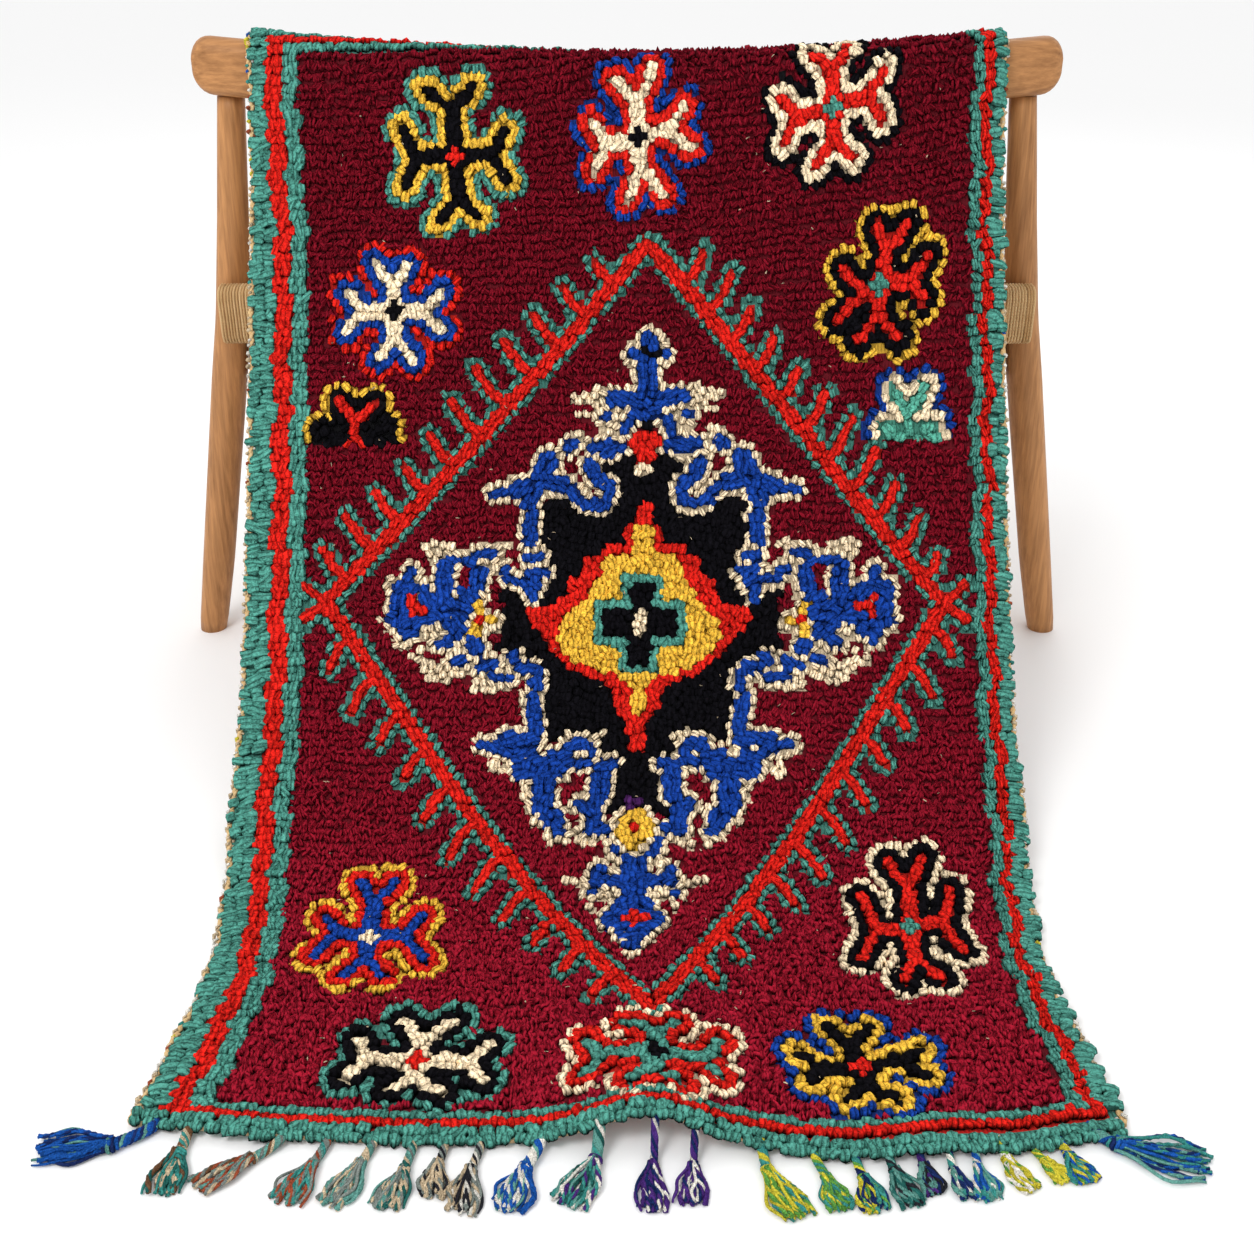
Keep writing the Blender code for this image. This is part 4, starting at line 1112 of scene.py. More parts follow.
def wood_material(name, stretch, light=WOOD_LIGHT, dark=WOOD_DARK):
    """Oiled hardwood; stretch draws the grain out along one axis."""
    material, tree, shader = new_material(name, 0.48)
    mapping = tree.nodes.new("ShaderNodeMapping")
    mapping.inputs["Scale"].default_value = stretch
    tree.links.new(object_place(tree), mapping.inputs["Vector"])
    grain = place_group(tree, GRAIN, (("Vector", mapping.outputs[0]),), (("Ring size", RING_SIZE),))
    share = math_node(tree, "MULTIPLY", grain.outputs["Rings"], 0.22)
    share = math_node(tree, "MULTIPLY_ADD", grain.outputs["Streaks"], 0.90, share)
    share = math_node(tree, "MULTIPLY_ADD", grain.outputs["Pores"], 1.30, share)
    share = math_node(tree, "SUBTRACT", share, 0.86, clamp=True)
    colour = mix_colours(tree, share, (*light, 1.0), (*dark, 1.0))
    tree.links.new(colour, shader.inputs["Base Color"])
    rough = math_node(tree, "MULTIPLY_ADD", grain.outputs["Pores"], 0.25, 0.36)
    tree.links.new(rough, shader.inputs["Roughness"])
    relief = math_node(tree, "SUBTRACT", 1.0, share)
    add_bump(tree, shader, relief, strength=0.35, distance=0.0006)
    return material


def cord_material(name, light, dark, turn=0.003):
    """Twisted cord; every turn of it has its own tone between light and dark."""
    material, tree, shader = new_material(name, 0.78)
    twist = place_group(tree, TWIST, (("Vector", object_place(tree)),), (("Turn size", turn),))
    share = math_node(tree, "MULTIPLY_ADD", twist.outputs["Shade"], 0.6,
                      math_node(tree, "MULTIPLY", read_attribute(tree, "tone"), 0.55), clamp=True)
    tree.links.new(mix_colours(tree, share, (*light, 1.0), (*dark, 1.0)), shader.inputs["Base Color"])
    add_bump(tree, shader, twist.outputs["Height"], strength=0.6, distance=0.0006)
    return material


# ---- rug -----------------------------------------------------------------
# a motif's knot, a curl of the field, a tuft of the outer band and a loose hair
BRICK = bean(7, ((-0.86, 0.80), (-0.05, 1.0), (0.84, 0.82)), 0.66)
WISP = bean(4, ((-0.50, 0.94), (0.52, 0.96)), 1.0)
PAD = bean(8, ((-0.84, 0.76), (-0.30, 1.02), (0.34, 0.98), (0.84, 0.78)), 0.80)
HAIR = bean(6, ((-0.66, 0.78), (0.0, 1.0), (0.66, 0.80)))
MOTIF_CLEAR = 0.0063         # the field's knots stay this far from a motif's knots
# the field's pile: first row, last row, thickness and length of its curls, and their scatter
FIELD_PARTS = ((-0.10, 0.30, 0.58, 0.88, 0.0018), (0.30, 0.80, 0.60, 0.92, 0.0022),
               (0.80, 1.30, 0.60, 0.95, 0.0026))
CURLS = 3                    # curls to a knot of the field
# row, how much lighter the field's colour is painted there: painted light, brighter where the rug lies
# flat on the floor
FIELD_PAINTED_LIGHT = ((0.000, 0.25), (0.300, 0.60), (0.550, 0.90), (0.800, 1.70), (1.000, 2.90),
              (1.270, 3.40))
PILE_LEAN = 0.22             # each knot's lower end stands proud
PAD_LONG = 0.0135            # usual length of a tuft of the side band
PAD_LIFT = 0.0028
PAD_END = 0.012              # the side band's first and last tuft, from the rug's ends
FRONT_FLARE = 0.0085         # the front edge's tufts reach this much farther out on the right
FRONT_FLARE_AT = 0.30
GROUND_SHADE = 0.62          # the share of its yarn's colour that the ground keeps in the shade
GROUND_EDGE = (0.50, 0.36, 0.20, 1.0)
FLECKS = 170
FLECK_LIFT = 0.0072


def knot_columns():
    """The width of a column of knots, and the middle of each column."""
    pitch = RUG_WIDTH / KNOT_COLUMNS
    return pitch, -RUG_WIDTH / 2.0 + pitch * (np.arange(KNOT_COLUMNS) + 0.5)


def lay_knots(rows):
    """Every knot of the rug: its place on the cloth, its yarn, turn and half size."""
    pitch, columns = knot_columns()
    middles = (rows[:-1] + rows[1:]) / 2.0
    across, row = [grid.ravel() for grid in np.meshgrid(columns, middles)]
    height = np.repeat(np.diff(rows), KNOT_COLUMNS)
    yarn, level = yarn_at(across, row)
    plain = (level > 2) & (yarn == MAROON)
    across, row, height, yarn = [a[plain] for a in (across, row, height, yarn)]
    jitter = rng.uniform(-1.0, 1.0, (2, len(across)))
    across = across + jitter[0] * pitch * 0.20
    row = row + jitter[1] * height * 0.18 + waver(across, row)
    motifs = sew_motifs(rows)
    tree = kdtree.KDTree(len(motifs))
    for index, (x, s) in enumerate(motifs[:, :2]):
        tree.insert((x, s, 0.0), index)
    tree.balance()
    free = np.array([tree.find((x, s, 0.0))[2] > MOTIF_CLEAR for x, s in zip(across, row)])
    grid = np.stack([across, row, yarn, 0.35 * rng.standard_normal(len(across)),
                     np.full(len(across), pitch * 0.64), height * 0.62], axis=1)
    return np.concatenate([motifs, grid[free]])


def knot_frames(across, row, wide, long, yaw_spread, lean, bend_spread=0.0, lift=PILE_LIFT):
    """What tuft_points needs of each knot, every one a little different."""
    place, side, down, out = cloth_frame(across, row)
    count = len(across)
    spread = rng.standard_normal((6, count))
    return {"place": place, "side": side, "down": down, "out": out,
            "wide": wide * (1.0 + 0.08 * spread[0]), "long": long * (1.0 + 0.10 * spread[1]),
            "tall": PILE_TALL * (1.0 + 0.10 * spread[2]), "yaw": yaw_spread * spread[3],
            "lean": lean + 0.10 * spread[4], "bend": bend_spread * spread[5],
            "lift": lift + 0.0007 * rng.standard_normal(count)}


def waver(across, row):
    """Rows of knots never run quite straight."""
    return 0.0016 * np.sin(across * 37.0 + row * 21.0) + 0.0011 * np.sin(across * 83.0 - row * 47.0)


def make_pile(knots):
    """The pile, one piece for each yarn; the field is spun looser and lies in curls."""
    pieces = []
    for colour, name in enumerate(YARN_NAMES):
        across, row, _, turn, wide, long = knots[knots[:, 2] == colour].T
        if colour == MAROON or len(across) == 0:
            continue
        frames = knot_frames(across, row, wide, long, yaw_spread=0.0, lean=PILE_LEAN)
        frames["yaw"] = turn
        pieces.append(add_tufts(f"pile_{name}", BRICK, frames, YARNS[colour], lumps=0.13))
    across, row, _, _, wide, long = knots[knots[:, 2] == MAROON].T
    for number, (low, high, thick, length, scatter) in enumerate(FIELD_PARTS, 1):
        chosen = (row >= low) & (row < high)
        count = chosen.sum()
        shift = (np.arange(CURLS) / (CURLS - 1.0) - 0.5)[:, None] * wide[chosen] * 1.25
        places = (across[chosen] + shift + rng.uniform(-0.0006, 0.0006, (CURLS, count))).ravel()
        rows = (row[chosen] + rng.uniform(-scatter, scatter, (CURLS, count))).ravel()
        frames = knot_frames(places, rows, np.tile(wide[chosen], CURLS) * thick,
                             np.tile(long[chosen], CURLS) * length, yaw_spread=0.58,
                             lean=PILE_LEAN, bend_spread=0.0014)
        frames["lift"] += rng.uniform(-0.0020, 0.0002, len(rows))
        # painted light: the field's tone rises where the rug lies flat on the floor
        frames["tone"] = read_table(FIELD_PAINTED_LIGHT, rows)
        pieces.append(add_tufts(f"pile_maroon_{number}", WISP, frames, YARNS[MAROON], lumps=0.16))
    return pieces


def make_side_pads(rows):
    """The outer teal band: one tuft or a few in each row, lying out over the edge."""
    middles = (rows[:-1] + rows[1:]) / 2.0
    heights = np.diff(rows)
    keep = (middles > BACK_END + PAD_END) & (middles < RUG_LENGTH - PAD_END)
    pads = []
    for side, inner_edge in ((-1.0, LEFT_BANDS[0]), (1.0, RIGHT_BANDS[0])):
        for middle, tall in zip(middles[keep], heights[keep]):
            inner = inner_edge - 0.0012 - border_wave(side, middle) + 0.0012 * rng.standard_normal()
            outer = SIDE_REACH[side] + 0.0032 * rng.standard_normal()
            count = max(1, round((outer - inner) / PAD_LONG + rng.uniform(-0.45, 0.30)))
            joints = np.linspace(inner, outer, count + 1)
            joints[1:-1] += rng.uniform(-0.0022, 0.0022, count - 1)
            for start, end in zip(joints, joints[1:]):
                row = middle + rng.uniform(-0.0022, 0.0022)
                turn = -math.pi / 2.0 + 0.16 + 0.24 * rng.standard_normal()
                pads.append((side * (start + end) / 2.0, row, tall * rng.uniform(0.54, 0.74),
                             (end - start) * 0.58, side * turn))
    across, row, tall, long, yaw = np.array(pads).T
    knots = knot_frames(across, row, tall, long, yaw_spread=0.0, lean=-0.04,
                        bend_spread=0.0008, lift=PAD_LIFT)
    knots["yaw"] = yaw
    return add_tufts("pile_teal_side_pads", PAD, knots, YARNS[TEAL], lumps=0.11)


def make_end_pads():
    """The outer teal band along both ends: tufts that lie out over the edge."""
    pitch, columns = knot_columns()
    front, back = FRONT_BANDS[0] / 2.0, BACK_BANDS[0] / 2.0
    # row, half length and lift of each line of tufts
    lines = ((RUG_LENGTH - front - 0.0012, front * 0.85, 0.0030),
             (RUG_LENGTH + 0.0004, 0.0050, 0.0008), (BACK_END + back - 0.0020, back, 0.0026))
    across, row, half, lift = [], [], [], []
    for middle, long, high in lines:
        across.append(columns + rng.uniform(-0.0024, 0.0024, KNOT_COLUMNS))
        reach = FRONT_FLARE * np.clip(columns / FRONT_FLARE_AT, 0.0, 1.0) if middle > 0.0 else 0.0
        row.append(middle + reach + rng.uniform(-0.0018, 0.0018, KNOT_COLUMNS))
        half.append(long * rng.uniform(0.9, 1.3, KNOT_COLUMNS))
        lift.append(np.full(KNOT_COLUMNS, high))
    across, row, half, lift = [np.concatenate(part) for part in (across, row, half, lift)]
    knots = knot_frames(across, row, pitch * 0.66, half, yaw_spread=0.30, lean=0.0,
                        bend_spread=0.0010, lift=lift)
    return add_tufts("pile_teal_end_pads", PAD, knots, YARNS[TEAL], lumps=0.12)


def make_flecks():
    """Small pale hairs of unspun wool caught in the field."""
    count = FLECKS
    across = rng.uniform(-0.35, 0.35, count)
    row = rng.uniform(0.0, 1.22, count)
    place, side, down, out = cloth_frame(across, row)
    knots = {"place": place, "side": side, "down": down, "out": out,
             "wide": rng.uniform(0.0004, 0.0008, count), "long": rng.uniform(0.0012, 0.0030, count),
             "tall": rng.uniform(0.0004, 0.0008, count), "yaw": rng.uniform(-3.1, 3.1, count),
             "lean": rng.uniform(-0.3, 0.6, count), "bend": rng.uniform(-0.0006, 0.0006, count),
             "lift": np.full(count, FLECK_LIFT)}
    return add_tufts("pile_pale_flecks", HAIR, knots, YARNS[CREAM], lumps=0.05)


def make_ground(rows):
    """The ground weave: one closed sheet under the pile, with each knot's yarn on its back."""
    across = RUG_WIDTH * (np.arange(KNOT_COLUMNS + 1) / KNOT_COLUMNS - 0.5)
    grid_x, grid_s = np.meshgrid(across, rows)
    place, _, _, out = cloth_frame(grid_x.ravel(), grid_s.ravel())
    top = place + out * WEAVE_TOP
    under = place - out * RUG_THICK / 2.0
    under[:, 2] = np.maximum(under[:, 2], 0.0)
    count = len(place)
    columns = KNOT_COLUMNS + 1
    j, i = np.meshgrid(np.arange(len(rows) - 1), np.arange(KNOT_COLUMNS), indexing="ij")
    corner = (j * columns + i).ravel()
    cells = np.stack([corner, corner + columns, corner + columns + 1, corner + 1], axis=1)
    faces = cells.tolist() + (cells[:, ::-1] + count).tolist()
    rim = grid_rim(columns, len(rows))
    for a, b in zip(rim, rim[1:] + rim[:1]):
        faces.append((a, b, b + count, a + count))
    middle_x = (across[:-1] + across[1:]) / 2.0
    middle_s = (rows[:-1] + rows[1:]) / 2.0
    cell_x, cell_s = [grid.ravel() for grid in np.meshgrid(middle_x, middle_s)]
    yarn, _ = yarn_at(cell_x, cell_s)
    palette = np.array([(*colour, 1.0) for colour in YARN_COLOURS])
    colours = palette[yarn]
    rim_colour = np.tile(GROUND_EDGE, (len(faces) - 2 * len(cells), 1))
    colours = np.concatenate([colours * (*[GROUND_SHADE] * 3, 1.0), colours, rim_colour])
    back = np.repeat((0.0, 1.0, 0.0), (len(cells), len(cells), len(rim_colour)))
    knot_place = np.stack([grid_x.ravel() / RUG_WIDTH * KNOT_COLUMNS,
                           np.repeat(np.arange(len(rows)), columns), np.zeros(count)], axis=1)
    return add_piece("rug_ground_weave", np.concatenate([top, under]), faces, [weave_material()],
                     (("knot_colour", "FLOAT_COLOR", "FACE", colours),
                                   ("knot_back", "FLOAT", "FACE", back),
                                   ("knot_place", "FLOAT_VECTOR", "POINT",
                                    np.concatenate([knot_place, knot_place]))))


def tube(path, radius, sides):
    """Points and faces of a closed tube along a path; radius may change along it."""
    path = np.asarray(path, dtype=float)
    count = len(path)
    radius = np.broadcast_to(radius, count)
    ways = unit(np.gradient(path, axis=0))
    up = np.array((0.0, 0.0, 1.0)) if abs(ways[0, 2]) < 0.8 else np.array((0.0, 1.0, 0.0))
    points = []
    for k in range(count):
        side = np.cross(ways[k], up)
        side = side / np.linalg.norm(side)
        up = np.cross(side, ways[k])
        for i in range(sides):
            turn = 2.0 * math.pi * i / sides
            points.append(path[k] + radius[k] * (math.cos(turn) * side + math.sin(turn) * up))
    return points, ring_faces(count, sides)


def add_tubes(name, tubes, materials, picks=None, tones=None):
    """One piece of many tubes: picks gives each its material, and each has a tone of its own."""
    points = []
    faces = []
    owner = []
    for index, (tube_points, tube_faces) in enumerate(tubes):
        offset = len(points)
        points.extend(tube_points)
        faces.extend([tuple(offset + i for i in face) for face in tube_faces])
        owner.extend([index] * len(tube_points))
    tones = rng.random(len(tubes)) if tones is None else tones
    face_materials = None if picks is None else [picks[owner[face[0]]] for face in faces]
    return add_piece(name, points, faces, materials,
                     (("tone", "FLOAT", "POINT", tones[owner]),), face_materials)


# ---- edges ---------------------------------------------------------------
# half thickness of a cord's ply, its distance from the cord's middle, length of a turn
SIDE_CORD = (0.0022, 0.0015, 0.016)
END_CORD = (0.0012, 0.0008, 0.014)
STITCH_STEP = 0.0086
STITCH_CLEAR = 0.0022        # the stitches' middle line stays this high above the floor
BRIGHT_END = 0.10            # up to this row most stitches are in the bright yarns
# the first two are the plain ones
STITCH_YARNS = ("oat", "chalk", "blue", "rust", "teal", "lemon")


def make_selvedges(material):
    """A two-ply cord bound along each side, and a thinner one along each end."""
    tubes = []
    thick, apart, length = SIDE_CORD
    along = np.linspace(BACK_END, RUG_LENGTH, 290)
    for side in (-1.0, 1.0):
        across = side * (RUG_WIDTH / 2.0 + 0.0014 + 0.0010 * np.sin(along * 61.0 + side))
        place, over, _, out = cloth_frame(across, along)
        for ply in (0.0, math.pi):
            turn = (along * 2.0 * math.pi / length + ply)[:, None]
            path = place + out * (-0.0004 + apart * np.sin(turn)) + over * apart * np.cos(turn)
            tubes.append(tube(path, thick, 5))
    thick, apart, length = END_CORD
    across = np.linspace(-RUG_WIDTH / 2.0, RUG_WIDTH / 2.0, 220)
    for end, shift in ((RUG_LENGTH, -0.0012), (BACK_END, -0.0004)):
        place, _, down, out = cloth_frame(across, np.full(len(across), end))
        for ply in (0.0, math.pi):
            turn = (across * 2.0 * math.pi / length + ply)[:, None]
            path = (place + down * (shift + apart * np.cos(turn))
                    + out * (-0.0020 + apart * np.sin(turn)))
            tubes.append(tube(path, thick, 4))
    return add_tubes("rug_edge_cords", tubes, [material],
                     tones=np.arange(len(tubes)) / len(tubes))


def make_edge_stitches():
    """Yarns overcast round both side cords, most of them bright near the back end."""
    tubes, picks = [], []
    turn = np.linspace(0.0, 1.6 * math.pi, 6)[:, None]
    for side in (-1.0, 1.0):
        along = np.arange(BACK_END + 0.006, RUG_LENGTH - 0.006, STITCH_STEP)
        along = along + rng.uniform(-0.0030, 0.0030, len(along))
        across = side * (RUG_WIDTH / 2.0 + rng.uniform(0.0004, 0.0026, len(along)))
        for s, place, over, down, out in zip(along, *cloth_frame(across, along)):
            size = rng.uniform(0.0028, 0.0046)
            slope = rng.uniform(0.0015, 0.0050)
            ring = place + out * (-0.0004 + np.cos(turn) * size)
            ring = ring + side * over * np.sin(turn) * size + down * turn / 5.0 * slope
            ring[:, 2] = np.maximum(ring[:, 2], STITCH_CLEAR)
            tubes.append(tube(ring, rng.uniform(0.0013, 0.0022), 4))
            bright = 0.60 if s < BRIGHT_END else 0.10
            lowest, past = (2, len(STITCH_YARNS)) if rng.random() < bright else (0, 2)
            picks.append(int(rng.integers(lowest, past)))
    return add_tubes("rug_edge_stitches", tubes, [FRINGE[name] for name in STITCH_YARNS],
                     picks)


# ---- tassels -------------------------------------------------------------
NECK_WIDE = 0.0085
NECK_TURN = 0.015            # length of one turn of a neck's plies
ROOT_DEPTH = 0.004           # a front neck starts this far inside the cloth
ROOT_REACH = 0.005           # and its length counts from this far past the edge
KNOT_WIDE = 0.0112
KNOT_TALL = 0.0096
STRAND_THICK = 0.0015
# half the thickness of a lock of three yarns that stay twisted together
LOCK_THICK = 0.0029
LOCK_TURN = 0.017
SPRAY_STEPS = 12
BACK_TASSELS = 10
BACK_NECK = 0.024
BACK_SPRAY = 0.042
BACK_STRANDS = 18
BACK_STEPS = 8
# across, way of the neck, its length, way of the spray, its length, thickness; the ways
# are degrees from straight ahead towards the right
FRONT_TASSELS = (
    (-0.403, -57, 0.036, -88, 0.062, 1.35), (-0.373, -4, 0.022, -6, 0.040, 1.15),
    (-0.291, -50, 0.029, -54, 0.048, 1.05), (-0.253, -20, 0.024, -26, 0.042, 1.00),
    (-0.214, -20, 0.022, -22, 0.045, 1.00), (-0.180, -10, 0.026, -18, 0.040, 1.00),
    (-0.153, -12, 0.019, -8, 0.032, 0.90), (-0.123, -14, 0.025, -10, 0.044, 0.95),
    (-0.072, -26, 0.027, -17, 0.042, 1.25), (-0.023, -12, 0.018, -24, 0.048, 1.25),
    (0.024, -4, 0.022, -2, 0.046, 0.85), (0.058, -6, 0.020, -4, 0.038, 0.85),
    (0.113, 10, 0.022, 24, 0.051, 1.10), (0.156, 20, 0.026, 20, 0.032, 0.95),
    (0.190, 12, 0.024, 14, 0.032, 0.95), (0.217, 14, 0.018, 16, 0.034, 0.95),
    (0.244, 8, 0.015, 9, 0.026, 0.85), (0.269, 4, 0.022, 6, 0.028, 0.80),
    (0.292, 0, 0.021, 10, 0.032, 0.90), (0.314, 14, 0.014, 22, 0.032, 1.00),
    (0.338, 30, 0.020, 32, 0.022, 0.80), (0.364, 18, 0.019, 20, 0.026, 1.00),
    (0.396, 50, 0.020, 70, 0.074, 1.30))
TASSEL_YARNS = {
    "blue": (0.012, 0.085, 0.360), "teal": (0.045, 0.260, 0.230), "sea": (0.110, 0.290, 0.250),
    "rust": (0.330, 0.075, 0.035), "brown": (0.150, 0.075, 0.038), "grey": (0.200, 0.230, 0.210),
    "oat": (0.560, 0.440, 0.290), "soot": (0.020, 0.020, 0.026), "green": (0.120, 0.330, 0.060),
    "plum": (0.070, 0.026, 0.180), "chalk": (0.720, 0.690, 0.620), "lemon": (0.600, 0.520, 0.045),
    "night": (0.012, 0.026, 0.110), "pine": (0.020, 0.120, 0.105)}
# the yarns of each front tassel; one that is named twice is twice as common
TASSEL_MIXES = (
    ("blue", "blue", "blue", "night", "sea"), ("teal", "brown", "pine", "teal", "oat"),
    ("brown", "grey", "oat", "sea", "rust"), ("teal", "rust", "grey", "sea"),
    ("grey", "sea", "oat", "sea"), ("sea", "grey", "pine", "oat"), ("grey", "oat", "soot", "oat"),
    ("oat", "chalk", "soot", "grey"), ("blue", "sea", "blue", "chalk"),
    ("pine", "teal", "plum", "chalk", "sea"), ("plum", "plum", "night", "chalk"),
    ("plum", "chalk", "night", "plum"), ("lemon", "green", "teal", "lemon"),
    ("lemon", "green", "teal"), ("green", "lemon", "teal", "night"), ("pine", "soot", "sea"),
    ("night", "soot", "plum", "sea"), ("teal", "sea", "night", "chalk"),
    ("sea", "teal", "chalk", "blue"), ("lemon", "green", "chalk"), ("lemon", "lemon", "green"),
    ("lemon", "green", "teal", "blue"), ("blue", "night", "teal", "blue", "sea"))
BACK_MIXES = (("teal", "sea"), ("oat", "grey"), ("plum", "night"), ("blue", "teal"),
              ("green", "lemon"))
FRINGE = {name: yarn_material(f"fringe_{name}", colour, 0.75, FRINGE_FIBRE, tufted=False)
          for name, colour in TASSEL_YARNS.items()}


def heading(degrees):
    """A level direction, turned from straight ahead towards the right."""
    turn = math.radians(degrees)
    return np.array((math.sin(turn), -math.cos(turn), 0.0))


def bezier(points, count):
    """A smooth path drawn by four points."""
    t = np.linspace(0.0, 1.0, count)[:, None]
    a, b, c, d = [np.asarray(p, dtype=float) for p in points]
    return (1 - t) ** 3 * a + 3 * (1 - t) ** 2 * t * b + 3 * (1 - t) * t ** 2 * c + t ** 3 * d


def braid(path, radius, turns, plies=3):
    """Plies that twist round each other along a path."""
    path = np.asarray(path)
    ways = unit(np.gradient(path, axis=0))
    up = np.array((0.0, 0.0, 1.0)) if abs(ways[0, 2]) < 0.8 else np.array((0.0, 1.0, 0.0))
    side = unit(np.cross(ways, up))
    rise = np.cross(side, ways)
    share = np.linspace(0.0, 1.0, len(path))
    thick = radius * (0.56 if plies < 4 else 0.44)
    tubes = []
    for ply in range(plies):
        turn = (share * turns + ply / plies) * 2.0 * math.pi
        offset = side * (np.cos(turn) * (radius - thick))[:, None]
        offset = offset + rise * (np.sin(turn) * (radius - thick) * 0.9)[:, None]
        tubes.append(tube(path + offset, thick, 4 if plies < 4 else 5))
    return tubes


def fringe_piece(name, groups, mix, node):
    """One tassel: groups of tubes, each tube in one of the tassel's yarns."""
    names = list(dict.fromkeys(mix))
    tubes = [one for group in groups for one in group]
    picks = [names.index(mix[int(rng.integers(len(mix)))]) for _ in tubes]
    piece = add_tubes(name, tubes, [FRINGE[word] for word in names], picks)
    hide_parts(node)
    return piece


def front_fringe(number, row, mix):
    """A front tassel: a braided neck, a knot, and a spray of locks and loose strands."""
    across, neck_way, neck_length, spray_way, spray_length, thick = row
    at = np.array([across])
    root, _, down, _ = [value[0] for value in cloth_frame(at, np.array([RUG_LENGTH]))]
    ahead, spray = heading(neck_way), heading(spray_way)
    neck = NECK_WIDE * thick / 2.0
    knot_half = KNOT_WIDE * thick / 2.0
    facing = unit(np.array((down[0], down[1], 0.0)))
    start = root - down * ROOT_DEPTH
    start[2] = max(start[2] - 0.001, neck)
    knot = root + facing * ROOT_REACH + ahead * neck_length
    knot[2] = KNOT_TALL * thick / 2.0
    path = bezier((start, root + facing * 0.008, knot - ahead * neck_length * 0.45, knot), 17)
    path[:, 2] = np.maximum(path[:, 2], neck * 0.95)
    groups = [braid(path, neck, neck_length / NECK_TURN, 6)]
    groups.append(knot_wraps(knot, unit(ahead + spray), knot_half, KNOT_TALL * thick / 2.0))
    sideways = np.array((-spray[1], spray[0], 0.0))
    up = np.array((0.0, 0.0, 1.0))
    strands = []
    spray_wide = 0.0080 * thick + 0.19 * spray_length
    share = np.linspace(0.0, 1.0, SPRAY_STEPS)
    belly = 0.26 + 0.74 * smooth_step(share * 1.5) - 0.16 * smooth_step((share - 0.65) / 0.35)
    curve = rng.normal(0.0, 0.05)
    locks = int(4 + 4 * thick)
    for index in range(locks + int(4 + 8 * thick)):
        twisted = index < locks
        length = (spray_length + 0.004) * rng.uniform(0.84 if twisted else 0.74, 1.0)
        aside = rng.normal(0.0, 0.10) + (index + 0.5) / locks * 1.6 - 0.8
        if not twisted:
            aside = np.clip(rng.normal(0.0, 0.50), -1.0, 1.0)
        level = rng.uniform(0.0, 1.0)
        waves = rng.uniform(5.0, 11.0)
        sway = rng.uniform(0.0012, 0.0030) * np.sin(share * waves + rng.uniform(0.0, 6.3)) * share
        reach = aside * spray_wide * belly + sway + curve * length * share ** 2
        height = STRAND_THICK * 1.2 + level * KNOT_TALL * thick * 0.80 * (1.0 - 0.72 * share)
        height = height + 0.0010 * np.sin(share * waves * 0.8 + aside * 5.0) * share * level
        path = knot * (1.0, 1.0, 0.0) + np.outer(share * length, spray) + np.outer(reach, sideways)
        path = path + np.outer(np.maximum(height, STRAND_THICK), up)
        if twisted:
            path[:, 2] = np.maximum(path[:, 2], LOCK_THICK)
            strands.extend(braid(path, LOCK_THICK, length / LOCK_TURN))
            continue
        taper = np.where(share > 0.9, 0.72, 1.0) * STRAND_THICK * rng.uniform(0.80, 1.15)
        strands.append(tube(path, taper, 5))
    groups.append(strands)
    return fringe_piece(f"fringe_front_{number:02d}", groups, mix, f"tassel_front_{number:02d}")


def knot_wraps(centre, way, half_wide, half_tall, out=None, turns=4):
    """A few turns of yarn drawn tight round the tassel."""
    up = np.array((0.0, 0.0, 1.0)) if out is None else out
    side = unit(np.cross(way, up))
    up = np.cross(side, way)
    wraps = []
    for k in range(turns):
        share = k / (turns - 1.0) * 2.0 - 1.0
        bulge = math.sqrt(max(1.0 - 0.55 * share * share, 0.1))
        turn = np.linspace(0.0, 2.0 * math.pi, 12)
        ring = (centre + way * (share * half_wide * 0.75)
                + np.outer(np.cos(turn), side) * half_wide * 0.80 * bulge
                + np.outer(np.sin(turn), up) * half_tall * 0.78 * bulge
                + np.outer(np.sin(turn * 0.5), way) * half_wide * 0.30)
        wraps.append(tube(ring, half_wide * 0.24, 5))
    return wraps


def back_fringe(number, across, mix):
    """A tassel of the back end, which hangs down behind the rail."""
    def line(beyond, drift, lift):
        along = slanted(across, BACK_END) - np.asarray(beyond)
        place, _, _, out = frame_along(across + np.asarray(drift), along, 0.003)
        return place + out * np.asarray(lift)[..., None]

    groups = [braid(line(np.linspace(-0.004, BACK_NECK, 14), np.zeros(14), np.zeros(14)),
                    NECK_WIDE / 2.0, 1.6)]
    knot_line = line([BACK_NECK + 0.004, BACK_NECK + 0.008], [0.0, 0.0], [0.0008, 0.0008])
    way = unit(knot_line[1] - knot_line[0])
    out = unit(np.cross(way, np.array((1.0, 0.0, 0.0))))
    groups.append(knot_wraps(knot_line[0], way, KNOT_WIDE / 2.0, KNOT_TALL / 2.0, out))
    strands = []
    share = np.linspace(0.0, 1.0, BACK_STEPS)
    for _ in range(BACK_STRANDS):
        length = BACK_SPRAY * rng.uniform(0.72, 1.0)
        drift = rng.normal(0.0, 0.0028) + rng.normal(0.0, 0.16) * length * share
        drift = drift + rng.normal(0.0, 0.0016) * np.sin(share * 5.0)
        lift = rng.uniform(-0.0022, 0.0028) * (1.0 - 0.4 * share)
        beyond = BACK_NECK + 0.006 + (length + 0.004) * share
        strands.append(tube(line(beyond, drift, lift), np.linspace(0.00125, 0.0008, BACK_STEPS), 5))
    groups.append(strands)
    return fringe_piece(f"fringe_back_{number:02d}", groups, mix, f"tassel_back_{number:02d}")


def make_fringes():
    pieces = []
    for number, (row, mix) in enumerate(zip(FRONT_TASSELS, TASSEL_MIXES), 1):
        pieces.append(front_fringe(number, row, mix))
    for i in range(BACK_TASSELS):
        across = RUG_WIDTH * 0.94 * (i / (BACK_TASSELS - 1) - 0.5)
        pieces.append(back_fringe(i + 1, across, BACK_MIXES[i % len(BACK_MIXES)]))
    return pieces


